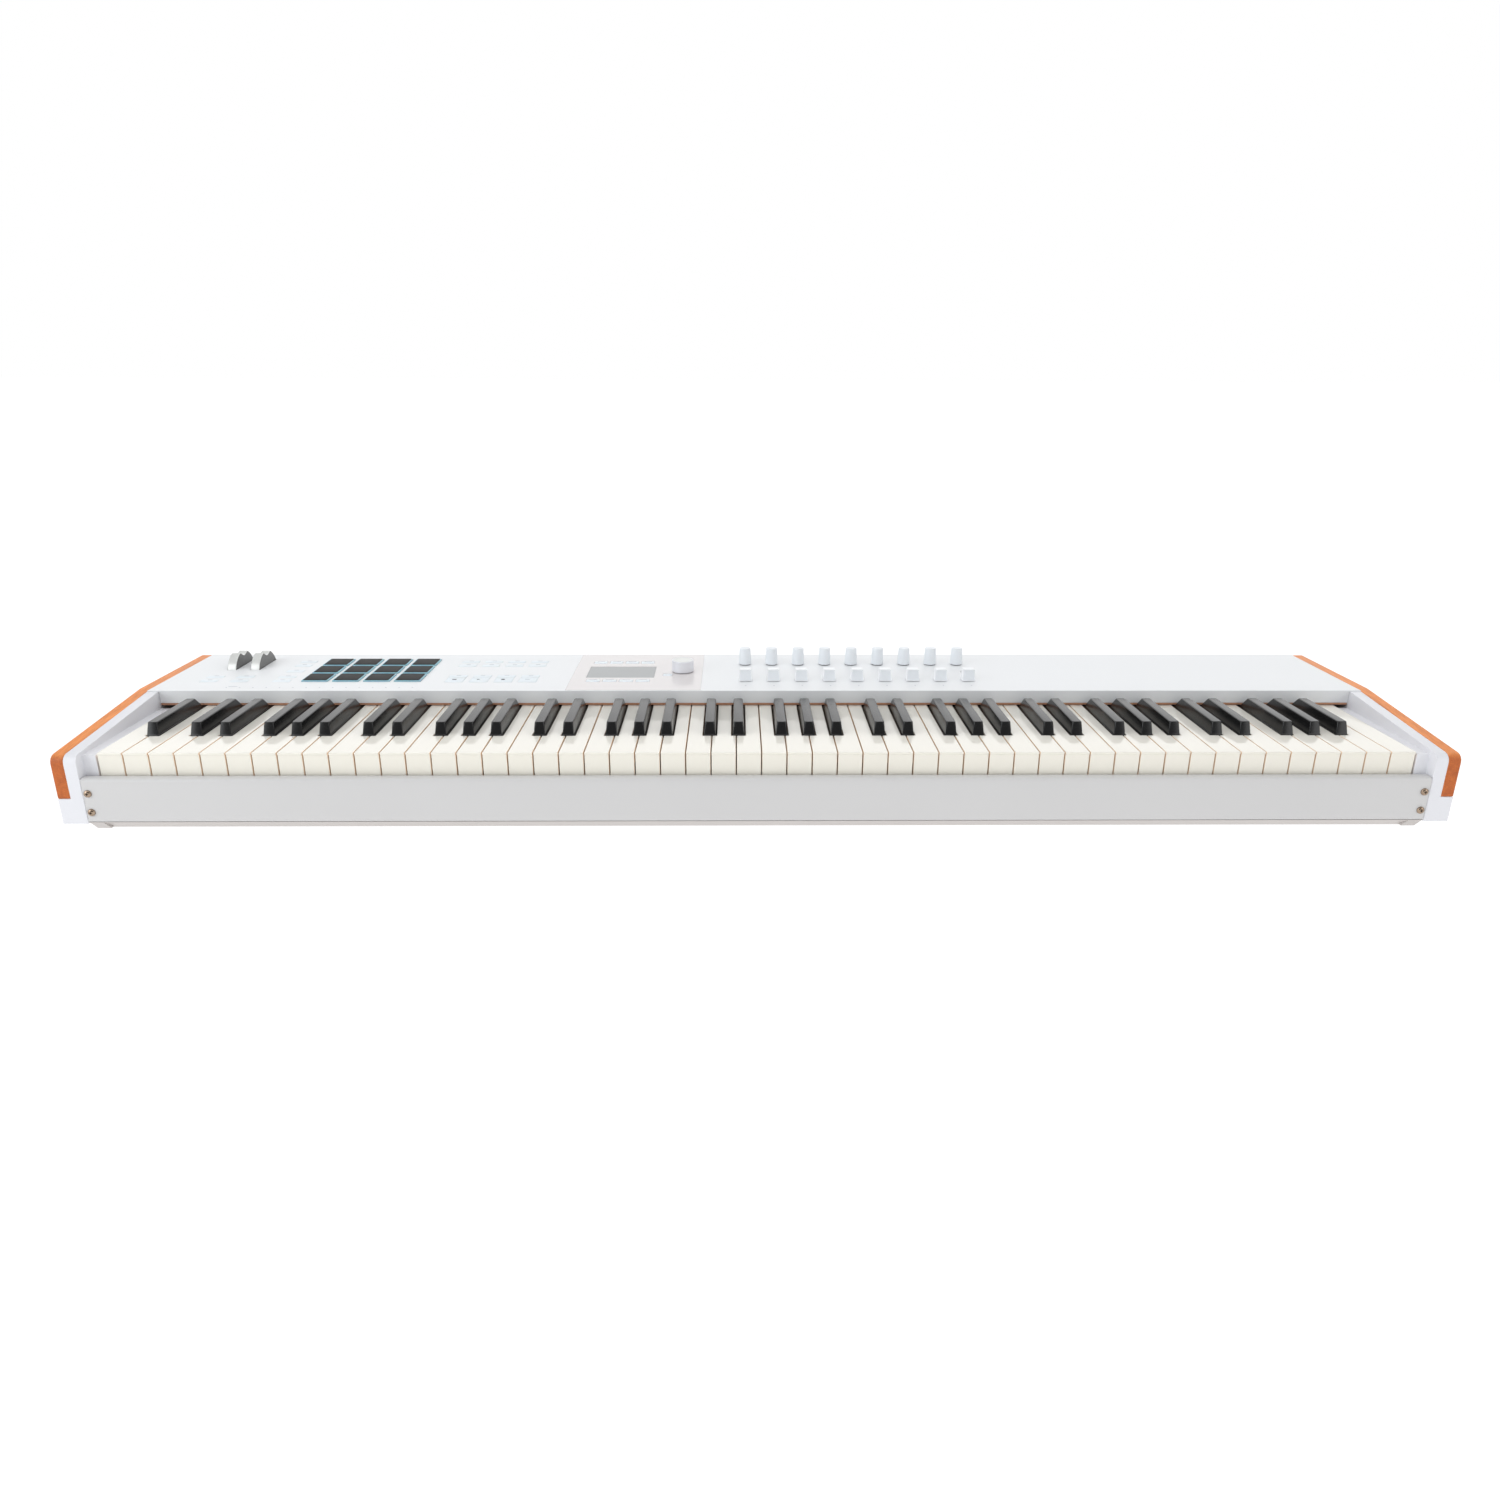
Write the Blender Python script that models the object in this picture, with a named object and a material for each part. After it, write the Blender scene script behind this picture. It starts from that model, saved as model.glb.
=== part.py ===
"""Stage keyboard synthesizer: 88 keys, wooden end panels, two wheels, pads, knobs and faders.

Run with: blender --background --python part.py

Everything is modelled in the keyboard frame, in metres: x from the middle of the keys to the
right, y from the front edge of the white keys to the back, z up from the top of the white keys.
KEYBOARD_TO_WORLD then puts the origin on the table, under the middle of the instrument.
"""
import math
from collections import namedtuple

import bmesh
import bpy
from mathutils import Vector

MM = 0.001
GAP = 0.3 * MM                      # clearance between neighbouring pieces

# Keyboard
KEY_PITCH = 23.5 * MM               # one white key and its gap
KEY_GAP = 1.0 * MM
WHITE_COUNT = 52
FIRST_NOTE = 21                     # A0
LAST_NOTE = 108                     # C8
KEYS_HALF_WIDTH = WHITE_COUNT * KEY_PITCH / 2
WHITE_TAIL_Y = 212 * MM
WHITE_DEPTH = 13.4 * MM
SKIRT_DEPTH = 25 * MM
SKIRT_THICK = 2.5 * MM
KEY_WALL = 1.8 * MM
KEY_TOP_THICK = 2.5 * MM
HOLLOW_Y = (8 * MM, 190 * MM)
BLACK_SLOT_WIDTH = 13.8 * MM
BLACK_SLOT_Y = 49 * MM
BLACK_WIDTH = 11.8 * MM
BLACK_TOP_WIDTH = 9.2 * MM
BLACK_FRONT_Y = 50 * MM
BLACK_TOP_Y = (53.5 * MM, 132 * MM)
BLACK_SLOPE_END_Y = 144.5 * MM
BLACK_TAIL_Y = 222 * MM
BLACK_HEIGHT = 12.6 * MM
BLACK_SHOULDER_Z = -0.5 * MM
BLACK_LEDGE = 0.3 * MM
BLACK_OFFSETS = {1: -2.13 * MM, 3: 2.13 * MM, 6: -3.2 * MM, 8: 0.0, 10: 3.2 * MM}
NOTE_NAMES = ("c", "cs", "d", "ds", "e", "f", "fs", "g", "gs", "a", "as", "b")
SINGLE_NOTES = range(60, 72)        # the octave from middle C, whose keys stand alone
WHITE_SPINE_Y = (207 * MM, WHITE_TAIL_Y)
WHITE_SPINE_Z = (-26 * MM, -20 * MM)
BLACK_SPINE_Y = (216 * MM, BLACK_TAIL_Y)
PIVOT_Y = 200 * MM
PIVOT_Z = -14 * MM

# Case
WOOD_X = (636.5 * MM, 648 * MM)
WOOD_BOTTOM_Z = -41 * MM
WOOD_FRONT_RADIUS = 8 * MM
WOOD_BACK_RADIUS = 3 * MM
FRONT_Y = -10 * MM
BACK_Y = 298 * MM
BEND_Y = 155 * MM
PANEL_TOP_Z = 16.4 * MM
SHEET = 1.5 * MM
PANEL_FRONT_Y = 147 * MM
LIP_BOTTOM_Z = 3.1 * MM
CHEEK_INNER_X = 624.6 * MM
CHEEK_BOTTOM_Z = -66 * MM
LEDGE_INNER_X = 612.3 * MM
LEDGE_TOP_Z = -2.5 * MM
LEDGE_FRONT_Y = 1.0 * MM
FLANGE_TOP_Z = -25.5 * MM
FLANGE_BOTTOM_Z = -60 * MM
FLANGE_FRONT_Y = -8.2 * MM
RAIL_HALF_WIDTH = 624 * MM
RAIL_FRONT_Y = -10.5 * MM
RAIL_LEDGE_BACK_Y = -1.5 * MM
RAIL_FLANGE_BACK_Y = 2.0 * MM
RAIL_Z = (-64 * MM, -21.6 * MM)
RAIL_THICK = 1.8 * MM
RAIL_RADIUS = 3.0 * MM
PAN_TOP_Z = -64.3 * MM
PAN_BOTTOM_Z = -71.4 * MM
PAN_FRONT_Y = (-10.3 * MM, -4.5 * MM)
PAN_BACK_Y = (297.7 * MM, 292 * MM)
PAN_HALF_WIDTH = (624 * MM, 606 * MM)
PAN_THICK = 2.0 * MM
RUNNER_BOTTOM_X = (604.5 * MM, 617 * MM)
RUNNER_TOP_X = (611.5 * MM, 623.9 * MM)
RUNNER_Y = (-9.8 * MM, 297.2 * MM)
RUNNER_Z = (-70.4 * MM, -64.35 * MM)
REAR_WALL_THICK = 1.8 * MM
FOOT_RADIUS = 10 * MM
FOOT_BOTTOM_Z = -80 * MM
FOOT_X = 520 * MM
FOOT_Y = (28 * MM, 272 * MM)
SCREW_X = 619.2 * MM
SCREW_Z = (-35.8 * MM, -54.3 * MM)
SCREW_HEAD_RADIUS = 3.5 * MM
SCREW_HEAD_HEIGHT = 2.2 * MM
SCREW_SHANK_RADIUS = 1.6 * MM
SCREW_LENGTH = 9 * MM
SCREW_HOLE_RADIUS = 2.0 * MM
FELT_Y = (147.4 * MM, 150.6 * MM)
FELT_Z = (0.6 * MM, 2.8 * MM)
FELT_HALF_WIDTH = 624.3 * MM
FRAME_HALF_WIDTH = 603 * MM
FRAME_STOP_Y = (10 * MM, 22 * MM)
FRAME_STOP_Z = -23.4 * MM
FRAME_PLATE_Z = (-52 * MM, -50 * MM)
FRAME_LEG_THICK = 3 * MM
FRAME_RISER_Y = (198 * MM, 202 * MM)
FRAME_BOTTOM_Z = PAN_BOTTOM_Z + PAN_THICK + GAP
RIDGE_TOP_Z = PIVOT_Z - 0.1 * MM

# Controls on the panel
CAP_TOP_Z = PANEL_TOP_Z + 0.3 * MM
MAT_Z = (6.8 * MM, 7.9 * MM)
MAT_MARGIN = 2 * MM
PAD_MAT_Z = (9.2 * MM, 10.2 * MM)
PAD_TOP_Z = PANEL_TOP_Z + 1.8 * MM
PAD_SIZE = 28.4 * MM
PAD_PITCH = (33 * MM, 32 * MM)
PAD_ORIGIN = (-490 * MM, 181.3 * MM)
PAD_COUNT = (4, 3)
CapBlock = namedtuple("CapBlock", "x y columns rows pitch width depth")
LEFT_CAPS = (
    CapBlock(-598.4 * MM, 180 * MM, 2, 2, (32.4 * MM, 16 * MM), 18.2 * MM, 9 * MM),
    CapBlock(-520.8 * MM, 180 * MM, 1, 2, (0, 16 * MM), 18.2 * MM, 9 * MM),
    CapBlock(-520.8 * MM, 219.5 * MM, 1, 1, (0, 0), 18.2 * MM, 9 * MM),
    CapBlock(-520.8 * MM, 243.3 * MM, 1, 2, (0, 16.2 * MM), 18.2 * MM, 9 * MM),
    CapBlock(-336.6 * MM, 179.4 * MM, 4, 1, (26.2 * MM, 0), 19.4 * MM, 17 * MM),
    CapBlock(-336.6 * MM, 198.6 * MM, 4, 1, (26.2 * MM, 0), 19.4 * MM, 8.5 * MM),
    CapBlock(-336.6 * MM, 243.3 * MM, 4, 2, (26.2 * MM, 16.2 * MM), 19.4 * MM, 9 * MM),
)
DISPLAY_CAPS = (
    CapBlock(-185.2 * MM, 180.5 * MM, 4, 1, (17.9 * MM, 0), 14.3 * MM, 9 * MM),
    CapBlock(-185.2 * MM, 256.3 * MM, 4, 1, (17.9 * MM, 0), 14.3 * MM, 9.5 * MM),
    CapBlock(-103.5 * MM, 204 * MM, 1, 1, (0, 0), 9.5 * MM, 9 * MM),
)
FACEPLATE_X = (-202.8 * MM, -60.8 * MM)
FACEPLATE_Y = (PANEL_FRONT_Y + SHEET + GAP, 296 * MM)
SCREEN_X = (-187 * MM, -113.3 * MM)
SCREEN_Y = (197.2 * MM, 242.7 * MM)
SCREEN_BOTTOM_Z = 13.4 * MM
DIAL_CENTRE = (-82.6 * MM, 223.5 * MM)
DIAL_RADIUS = 12.1 * MM
DIAL_HEIGHT = 13.3 * MM
CHANNEL_COUNT = 9
CHANNEL_X = -13.3 * MM
CHANNEL_PITCH = 30.15 * MM
KNOB_Y = 254 * MM
KNOB_RADIUS = (7.1 * MM, 6.2 * MM)
KNOB_HEIGHT = 19.6 * MM
KNOB_LIFT = 0.6 * MM
SHAFT_RADIUS = 3.0 * MM
SHAFT_BOTTOM_Z = 12 * MM
FADER_Y = 187.2 * MM
FADER_TRAVEL = 36 * MM
FADER_SLOT_WIDTH = 2.2 * MM
FADER_STEM = (1.4 * MM, 4.0 * MM)
FADER_BASE = (14.2 * MM, 12.0 * MM)
FADER_TOP = (12.2 * MM, 9.6 * MM)
FADER_HEIGHT = 13.2 * MM
WHEEL_X = (-584.5 * MM, -558.8 * MM)
WHEEL_Y = 253 * MM
WHEEL_Z = 7.3 * MM
WHEEL_RADIUS = 25.2 * MM
WHEEL_WIDTH = 9.5 * MM
WHEEL_GROOVE_ANGLE = math.radians(-5.5)
WHEEL_GROOVE_HALF = math.radians(21)
WHEEL_GROOVE_DEPTH = 5.2 * MM
WHEEL_AXLE_RADIUS = 2.2 * MM
LUG_THICK = 3 * MM
LUG_HALF_WIDTH = 7 * MM
LUG_TOP_Z = 12.2 * MM
LUG_HOLE_RADIUS = 2.6 * MM

# Circuit board and rear sockets
BOARD_X = (-540 * MM, 250 * MM)
BOARD_Y = (156 * MM, 293 * MM)
BOARD_Z = (3.6 * MM, 5.2 * MM)
COMPONENT_TOP_Z = 11.4 * MM
SOCKET_Z = -3.4 * MM
SOCKET_HALF_HEIGHT = 7.5 * MM
SOCKET_FRONT_Y = 266 * MM
JACK_X = (60 * MM, 90 * MM, 120 * MM)
JACK_BORE_RADIUS = 3.25 * MM
JACK_BORE_DEPTH = 24 * MM
JACK_HALF_WIDTH = 7.5 * MM
MIDI_X = (-60 * MM, -30 * MM)
MIDI_RADIUS = 7.5 * MM
USB_X = -140 * MM
USB_SIZE = (9.0 * MM, 3.2 * MM)
POWER_X = -200 * MM
POWER_RADIUS = 3.2 * MM

SCREW_TIP_Y = RAIL_FRONT_Y - SCREW_HEAD_HEIGHT
KEYBOARD_TO_WORLD = Vector((0, -(SCREW_TIP_Y + BACK_Y) / 2, -FOOT_BOTTOM_Z))


# ---------------------------------------------------------------- helpers

def clear_scene():
    for item in list(bpy.data.objects):
        bpy.data.objects.remove(item, do_unlink=True)


def material(name, colour, roughness, metallic=0.0):
    made = bpy.data.materials.get(name) or bpy.data.materials.new(name)
    made.use_nodes = True
    made.diffuse_color = (*colour, 1)
    shader = made.node_tree.nodes["Principled BSDF"]
    shader.inputs["Base Color"].default_value = (*colour, 1)
    shader.inputs["Roughness"].default_value = roughness
    shader.inputs["Metallic"].default_value = metallic
    return made


def white_plastic():
    return material("white_plastic", (0.80, 0.81, 0.84), 0.45)


def white_sheet():
    return material("white_sheet", (0.78, 0.79, 0.81), 0.5)


def key_ivory():
    return material("key_ivory", (0.88, 0.86, 0.80), 0.3)


def key_black():
    return material("key_black", (0.02, 0.02, 0.022), 0.35)


def wood():
    return material("wood", (0.62, 0.27, 0.10), 0.55)


def loft(bm, rings):
    """Closed body through rings of equally many points, with a cap on the first and last."""
    loops = [[bm.verts.new(point) for point in ring] for ring in rings]
    count = len(loops[0])
    bm.faces.new(loops[0])
    bm.faces.new(loops[-1])
    for lower, upper in zip(loops, loops[1:]):
        for i in range(count):
            j = (i + 1) % count
            bm.faces.new((lower[i], lower[j], upper[j], upper[i]))


def rectangle(x_span, y_span, z):
    (x0, x1), (y0, y1) = x_span, y_span
    return [(x0, y0, z), (x1, y0, z), (x1, y1, z), (x0, y1, z)]


def box(bm, x_span, y_span, z_span):
    loft(bm, [rectangle(x_span, y_span, z) for z in sorted(z_span)])


def centred(middle, width):
    return (middle - width / 2, middle + width / 2)


def extrude_x(bm, outline, x_span):
    """Prism along x from an outline of (y, z) points."""
    loft(bm, [[(x, y, z) for y, z in outline] for x in sorted(x_span)])


def circle(radius, segments):
    step = 2 * math.pi / segments
    return [(radius * math.cos(i * step), radius * math.sin(i * step)) for i in range(segments)]


def turned(bm, centre, profile, segments=24):
    """Body turned about the vertical through centre, from (radius, z) pairs, bottom to top."""
    rings = []
    for radius, z in profile:
        rings.append([(centre[0] + u, centre[1] + v, z) for u, v in circle(radius, segments)])
    loft(bm, rings)


def rod_y(bm, x, z, radius, y_span, segments=12):
    loft(bm, [[(x + u, y, z + v) for u, v in circle(radius, segments)] for y in y_span])


def rod_x(bm, y, z, radius, x_span, segments=16):
    loft(bm, [[(x, y + u, z + v) for u, v in circle(radius, segments)] for x in x_span])


def rounded(outline, radii, steps=4):
    """The outline with an arc of the given radius at each corner; radius 0 leaves it sharp."""
    result = []
    for i, corner in enumerate(outline):
        corner = Vector(corner)
        if not radii[i]:
            result.append(tuple(corner))
            continue
        before = (Vector(outline[i - 1]) - corner).normalized()
        after = (Vector(outline[(i + 1) % len(outline)]) - corner).normalized()
        half = before.angle(after) / 2
        centre = corner + (before + after).normalized() * (radii[i] / math.sin(half))
        start = corner + before * (radii[i] / math.tan(half)) - centre
        end = corner + after * (radii[i] / math.tan(half)) - centre
        first = math.atan2(start.y, start.x)
        sweep = math.remainder(math.atan2(end.y, end.x) - first, 2 * math.pi)
        for step in range(steps + 1):
            angle = first + sweep * step / steps
            result.append((centre.x + radii[i] * math.cos(angle), centre.y + radii[i] * math.sin(angle)))
    return result


def finish(name, bm, skin, origin=(0, 0, 0), sharp_degrees=35):
    """Make the object, with its origin at a point of the keyboard frame."""
    bmesh.ops.recalc_face_normals(bm, faces=bm.faces)
    bmesh.ops.translate(bm, verts=bm.verts, vec=-Vector(origin))
    mesh = bpy.data.meshes.new(name)
    bm.to_mesh(mesh)
    bm.free()
    mesh.materials.append(skin)
    mesh.shade_smooth()
    mesh.set_sharp_from_angle(angle=math.radians(sharp_degrees))
    made = bpy.data.objects.new(name, mesh)
    made.location = Vector(origin) + KEYBOARD_TO_WORLD
    bpy.context.scene.collection.objects.link(made)
    return made


def combine(target, tool_bm, operation):
    """Apply an exact Boolean with the bodies in tool_bm, which don't touch each other."""
    origin = target.location - KEYBOARD_TO_WORLD
    tool = finish("tool", tool_bm, target.data.materials[0], origin)
    tool.hide_render = True
    tool.display_type = "WIRE"
    modifier = target.modifiers.new(operation.lower(), "BOOLEAN")
    modifier.operation = operation
    modifier.object = tool
    bpy.context.view_layer.update()
    graph = bpy.context.evaluated_depsgraph_get()
    mesh = bpy.data.meshes.new_from_object(target.evaluated_get(graph))
    target.modifiers.clear()
    old = target.data
    target.data = mesh
    bpy.data.meshes.remove(old)
    bpy.data.objects.remove(tool, do_unlink=True)


# ---------------------------------------------------------------- keyboard

def is_black(note):
    return note % 12 in BLACK_OFFSETS


def whites_below(note):
    return sum(1 for lower in range(FIRST_NOTE, note) if not is_black(lower))


def key_left_x(note):
    """Left boundary of a white key, or the boundary that a black key sits over."""
    return -KEYS_HALF_WIDTH + whites_below(note) * KEY_PITCH


def black_centre_x(note):
    return key_left_x(note) + BLACK_OFFSETS[note % 12]


def white_spans(note):
    """The x spans of a white key at its front and, between the black keys, at its tail."""
    left = key_left_x(note) + KEY_GAP / 2
    right = left + KEY_PITCH - KEY_GAP
    tail_left, tail_right = left, right
    if note > FIRST_NOTE and is_black(note - 1):
        tail_left = black_centre_x(note - 1) + BLACK_SLOT_WIDTH / 2
    if note < LAST_NOTE and is_black(note + 1):
        tail_right = black_centre_x(note + 1) - BLACK_SLOT_WIDTH / 2
    return (left, right), (tail_left, tail_right)


def white_profile(joined):
    """Side view of a white key; a joined one reaches down to the spine behind the pivot."""
    outline = [(0, 0), (0, -SKIRT_DEPTH), (SKIRT_THICK, -SKIRT_DEPTH), (SKIRT_THICK, -WHITE_DEPTH)]
    if joined:
        outline += [(WHITE_SPINE_Y[0], -WHITE_DEPTH), (WHITE_SPINE_Y[0], WHITE_SPINE_Z[0])]
        outline += [(WHITE_TAIL_Y, WHITE_SPINE_Z[0]), (WHITE_TAIL_Y, 0)]
    else:
        outline += [(WHITE_TAIL_Y, -WHITE_DEPTH), (WHITE_TAIL_Y, 0)]
    return outline


def white_key_bodies(notes, joined):
    keys = bmesh.new()
    for note in notes:
        extrude_x(keys, white_profile(joined), white_spans(note)[0])
    return keys


def white_key_cuts(notes):
    """Room for the black keys beside the tails, and the hollow under each key."""
    cuts = bmesh.new()
    past = 1 * MM
    for note in notes:
        (left, right), (tail_left, tail_right) = white_spans(note)
        height = (WHITE_SPINE_Z[0] - past, past)
        length = (BLACK_SLOT_Y, WHITE_TAIL_Y + past)
        if tail_left > left:
            box(cuts, (left - KEY_GAP / 3, tail_left), length, height)
        if tail_right < right:
            box(cuts, (tail_right, right + KEY_GAP / 3), length, height)
        hollow = (tail_left + KEY_WALL, tail_right - KEY_WALL)
        box(cuts, hollow, HOLLOW_Y, (-WHITE_DEPTH - past, -KEY_TOP_THICK))
    return cuts


def white_keys(name, notes):
    """One white key, or a bank of them on a spine behind the pivot."""
    pivot = (sum(white_spans(notes[0])[0]) / 2, PIVOT_Y, PIVOT_Z)
    joined = len(notes) > 1
    made = finish(name, white_key_bodies(notes, joined), key_ivory(), pivot)
    combine(made, white_key_cuts(notes), "DIFFERENCE")
    if joined:
        spine = bmesh.new()
        span = (white_spans(notes[0])[1][0] + MM, white_spans(notes[-1])[1][1] - MM)
        inner = (WHITE_SPINE_Y[0] + 0.5 * MM, WHITE_SPINE_Y[1] - 0.5 * MM)
        box(spine, span, inner, (WHITE_SPINE_Z[0] + 0.5 * MM, WHITE_SPINE_Z[1]))
        combine(made, spine, "UNION")
    return made


def black_key_body(bm, note):
    middle = black_centre_x(note)
    base = centred(middle, BLACK_WIDTH)
    shoulder = centred(middle, BLACK_WIDTH - 2 * BLACK_LEDGE)
    top = centred(middle, BLACK_TOP_WIDTH)
    full = (BLACK_FRONT_Y, BLACK_TAIL_Y)
    cap = (BLACK_FRONT_Y + BLACK_LEDGE, BLACK_SLOPE_END_Y)
    loft(bm, [
        rectangle(base, full, -WHITE_DEPTH),
        rectangle(base, full, BLACK_SHOULDER_Z),
        rectangle(shoulder, cap, BLACK_SHOULDER_Z + BLACK_LEDGE),
        rectangle(top, BLACK_TOP_Y, BLACK_HEIGHT),
    ])


def black_keys(name, notes):
    """One black key, or a bank of them on a spine behind the white tails."""
    pivot = (black_centre_x(notes[0]), PIVOT_Y, PIVOT_Z)
    keys = bmesh.new()
    for note in notes:
        black_key_body(keys, note)
    made = finish(name, keys, key_black(), pivot)
    if len(notes) > 1:
        spine = bmesh.new()
        span = (black_centre_x(notes[0]), black_centre_x(notes[-1]))
        inner = (BLACK_SPINE_Y[0], BLACK_SPINE_Y[1] - 0.5 * MM)
        box(spine, span, inner, (-WHITE_DEPTH + 0.5 * MM, BLACK_SHOULDER_Z - 0.5 * MM))
        combine(made, spine, "UNION")
    return made


def make_keyboard():
    low = range(FIRST_NOTE, SINGLE_NOTES[0])
    high = range(SINGLE_NOTES[-1] + 1, LAST_NOTE + 1)
    for suffix, notes in (("bass", low), ("treble", high)):
        white_keys("white_keys_" + suffix, [note for note in notes if not is_black(note)])
        black_keys("black_keys_" + suffix, [note for note in notes if is_black(note)])
    for note in SINGLE_NOTES:
        maker = black_keys if is_black(note) else white_keys
        maker("key_" + NOTE_NAMES[note % 12] + "4", [note])


def make_keybed_frame():
    """Sheet frame under the keys: front stop, floor plate, and the ridge that the keys rock on."""
    stop_front, stop_back = FRAME_STOP_Y
    riser_front, riser_back = FRAME_RISER_Y
    plate_low, plate_high = FRAME_PLATE_Z
    outline = [
        (stop_front, FRAME_BOTTOM_Z), (stop_front + FRAME_LEG_THICK, FRAME_BOTTOM_Z),
        (stop_front + FRAME_LEG_THICK, plate_low), (riser_front, plate_low),
        (riser_front, FRAME_BOTTOM_Z), (riser_back, FRAME_BOTTOM_Z),
        (riser_back, RIDGE_TOP_Z), (riser_front, RIDGE_TOP_Z),
        (riser_front, plate_high), (stop_back, plate_high),
        (stop_back, FRAME_STOP_Z), (stop_front, FRAME_STOP_Z),
    ]
    ridge = (riser_back - riser_front) / 2 * 0.9
    radii = [0, 0, 0, 0, 0, 0, ridge, ridge, 0, 0, 1 * MM, 1 * MM]
    frame = bmesh.new()
    extrude_x(frame, rounded(outline, radii, 3), (-FRAME_HALF_WIDTH, FRAME_HALF_WIDTH))
    finish("keybed_frame", frame, material("galvanised", (0.45, 0.46, 0.47), 0.4, 0.9))


def make_felt_strip():
    felt = bmesh.new()
    box(felt, (-FELT_HALF_WIDTH, FELT_HALF_WIDTH), FELT_Y, FELT_Z)
    finish("felt_strip", felt, material("felt", (0.33, 0.16, 0.10), 0.95))


# ---------------------------------------------------------------- case

def mirrored(span, side):
    return tuple(sorted(side * x for x in span))


def wood_profile():
    outline = [
        (FRONT_Y, WOOD_BOTTOM_Z), (FRONT_Y, 0), (BEND_Y, PANEL_TOP_Z),
        (BACK_Y, PANEL_TOP_Z), (BACK_Y, WOOD_BOTTOM_Z),
    ]
    return rounded(outline, [0, WOOD_FRONT_RADIUS, 2 * WOOD_FRONT_RADIUS, WOOD_BACK_RADIUS, 0])


def make_wood_side(name, side):
    panel = bmesh.new()
    extrude_x(panel, wood_profile(), mirrored(WOOD_X, side))
    finish(name, panel, wood())


def slope_z(y):
    """Height of the sloping top of the end panels at y."""
    return PANEL_TOP_Z * (y - FRONT_Y) / (BEND_Y - FRONT_Y)


def cheek_wall_profile():
    step_y = PANEL_FRONT_Y - GAP
    under_panel = PANEL_TOP_Z - SHEET - GAP
    outline = [
        (FRONT_Y, CHEEK_BOTTOM_Z), (FRONT_Y, 0), (step_y, slope_z(step_y)),
        (step_y, under_panel), (BACK_Y - GAP, under_panel), (BACK_Y - GAP, CHEEK_BOTTOM_Z),
    ]
    return rounded(outline, [0, WOOD_FRONT_RADIUS, 0, 0, 0, 0])


def make_cheek(name, side):
    """Moulded end cheek: wall against the wood, outer foot under it, ledge beside the keys."""
    overlap = 1 * MM
    wall = bmesh.new()
    extrude_x(wall, cheek_wall_profile(), mirrored((CHEEK_INNER_X, WOOD_X[0] - GAP), side))
    made = finish(name, wall, white_plastic())
    foot = bmesh.new()
    foot_x = mirrored((WOOD_X[0] - overlap, WOOD_X[1]), side)
    box(foot, foot_x, (FRONT_Y, BACK_Y - GAP), (CHEEK_BOTTOM_Z, WOOD_BOTTOM_Z - GAP))
    combine(made, foot, "UNION")
    ledge = bmesh.new()
    back = PANEL_FRONT_Y - GAP
    outline = [
        (FLANGE_FRONT_Y, FLANGE_BOTTOM_Z), (FLANGE_FRONT_Y, FLANGE_TOP_Z),
        (LEDGE_FRONT_Y, FLANGE_TOP_Z), (LEDGE_FRONT_Y, LEDGE_TOP_Z),
        (back, LEDGE_TOP_Z), (back, FLANGE_BOTTOM_Z),
    ]
    extrude_x(ledge, outline, mirrored((LEDGE_INNER_X, CHEEK_INNER_X + overlap), side))
    combine(made, ledge, "UNION")
    holes = bmesh.new()
    for z in SCREW_Z:
        hole_y = (FLANGE_FRONT_Y - overlap, RAIL_FRONT_Y + SCREW_LENGTH + overlap)
        rod_y(holes, side * SCREW_X, z, SCREW_HOLE_RADIUS, hole_y)
    combine(made, holes, "DIFFERENCE")


def make_front_rail():
    """Folded sheet across the front, with a ledge before the keys and a flange underneath."""
    low, high = RAIL_Z
    front = RAIL_FRONT_Y
    outline = [
        (front, low), (front, high), (RAIL_LEDGE_BACK_Y, high),
        (RAIL_LEDGE_BACK_Y, high - RAIL_THICK), (front + RAIL_THICK, high - RAIL_THICK),
        (front + RAIL_THICK, low + RAIL_THICK), (RAIL_FLANGE_BACK_Y, low + RAIL_THICK),
        (RAIL_FLANGE_BACK_Y, low),
    ]
    inner = RAIL_RADIUS - RAIL_THICK
    radii = [1 * MM, RAIL_RADIUS, 0, 0, inner, 0, 0, 0]
    rail = bmesh.new()
    extrude_x(rail, rounded(outline, radii), (-RAIL_HALF_WIDTH, RAIL_HALF_WIDTH))
    made = finish("front_rail", rail, white_sheet())
    holes = bmesh.new()
    for side in (-1, 1):
        for z in SCREW_Z:
            hole_y = (front - MM, front + RAIL_THICK + MM)
            rod_y(holes, side * SCREW_X, z, SCREW_HOLE_RADIUS, hole_y)
    combine(made, holes, "DIFFERENCE")


def make_rail_screws():
    """Pan-head screws that hold the rail to the cheeks."""
    chrome = material("screw_chrome", (0.75, 0.74, 0.72), 0.2, 1.0)
    head_y = RAIL_FRONT_Y - 0.02 * MM
    profile = [
        (0.5 * SCREW_HEAD_RADIUS, head_y - SCREW_HEAD_HEIGHT),
        (0.85 * SCREW_HEAD_RADIUS, head_y - 0.7 * SCREW_HEAD_HEIGHT),
        (SCREW_HEAD_RADIUS, head_y), (SCREW_SHANK_RADIUS, head_y),
        (SCREW_SHANK_RADIUS, RAIL_FRONT_Y + SCREW_LENGTH),
    ]
    names = {(-1, 0): "upper_left", (-1, 1): "lower_left", (1, 0): "upper_right", (1, 1): "lower_right"}
    for (side, row), suffix in names.items():
        screw = bmesh.new()
        x, z = side * SCREW_X, SCREW_Z[row]
        loft(screw, [[(x + u, y, z + v) for u, v in circle(radius, 14)] for radius, y in profile])
        finish("rail_screw_" + suffix, screw, chrome)


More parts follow.
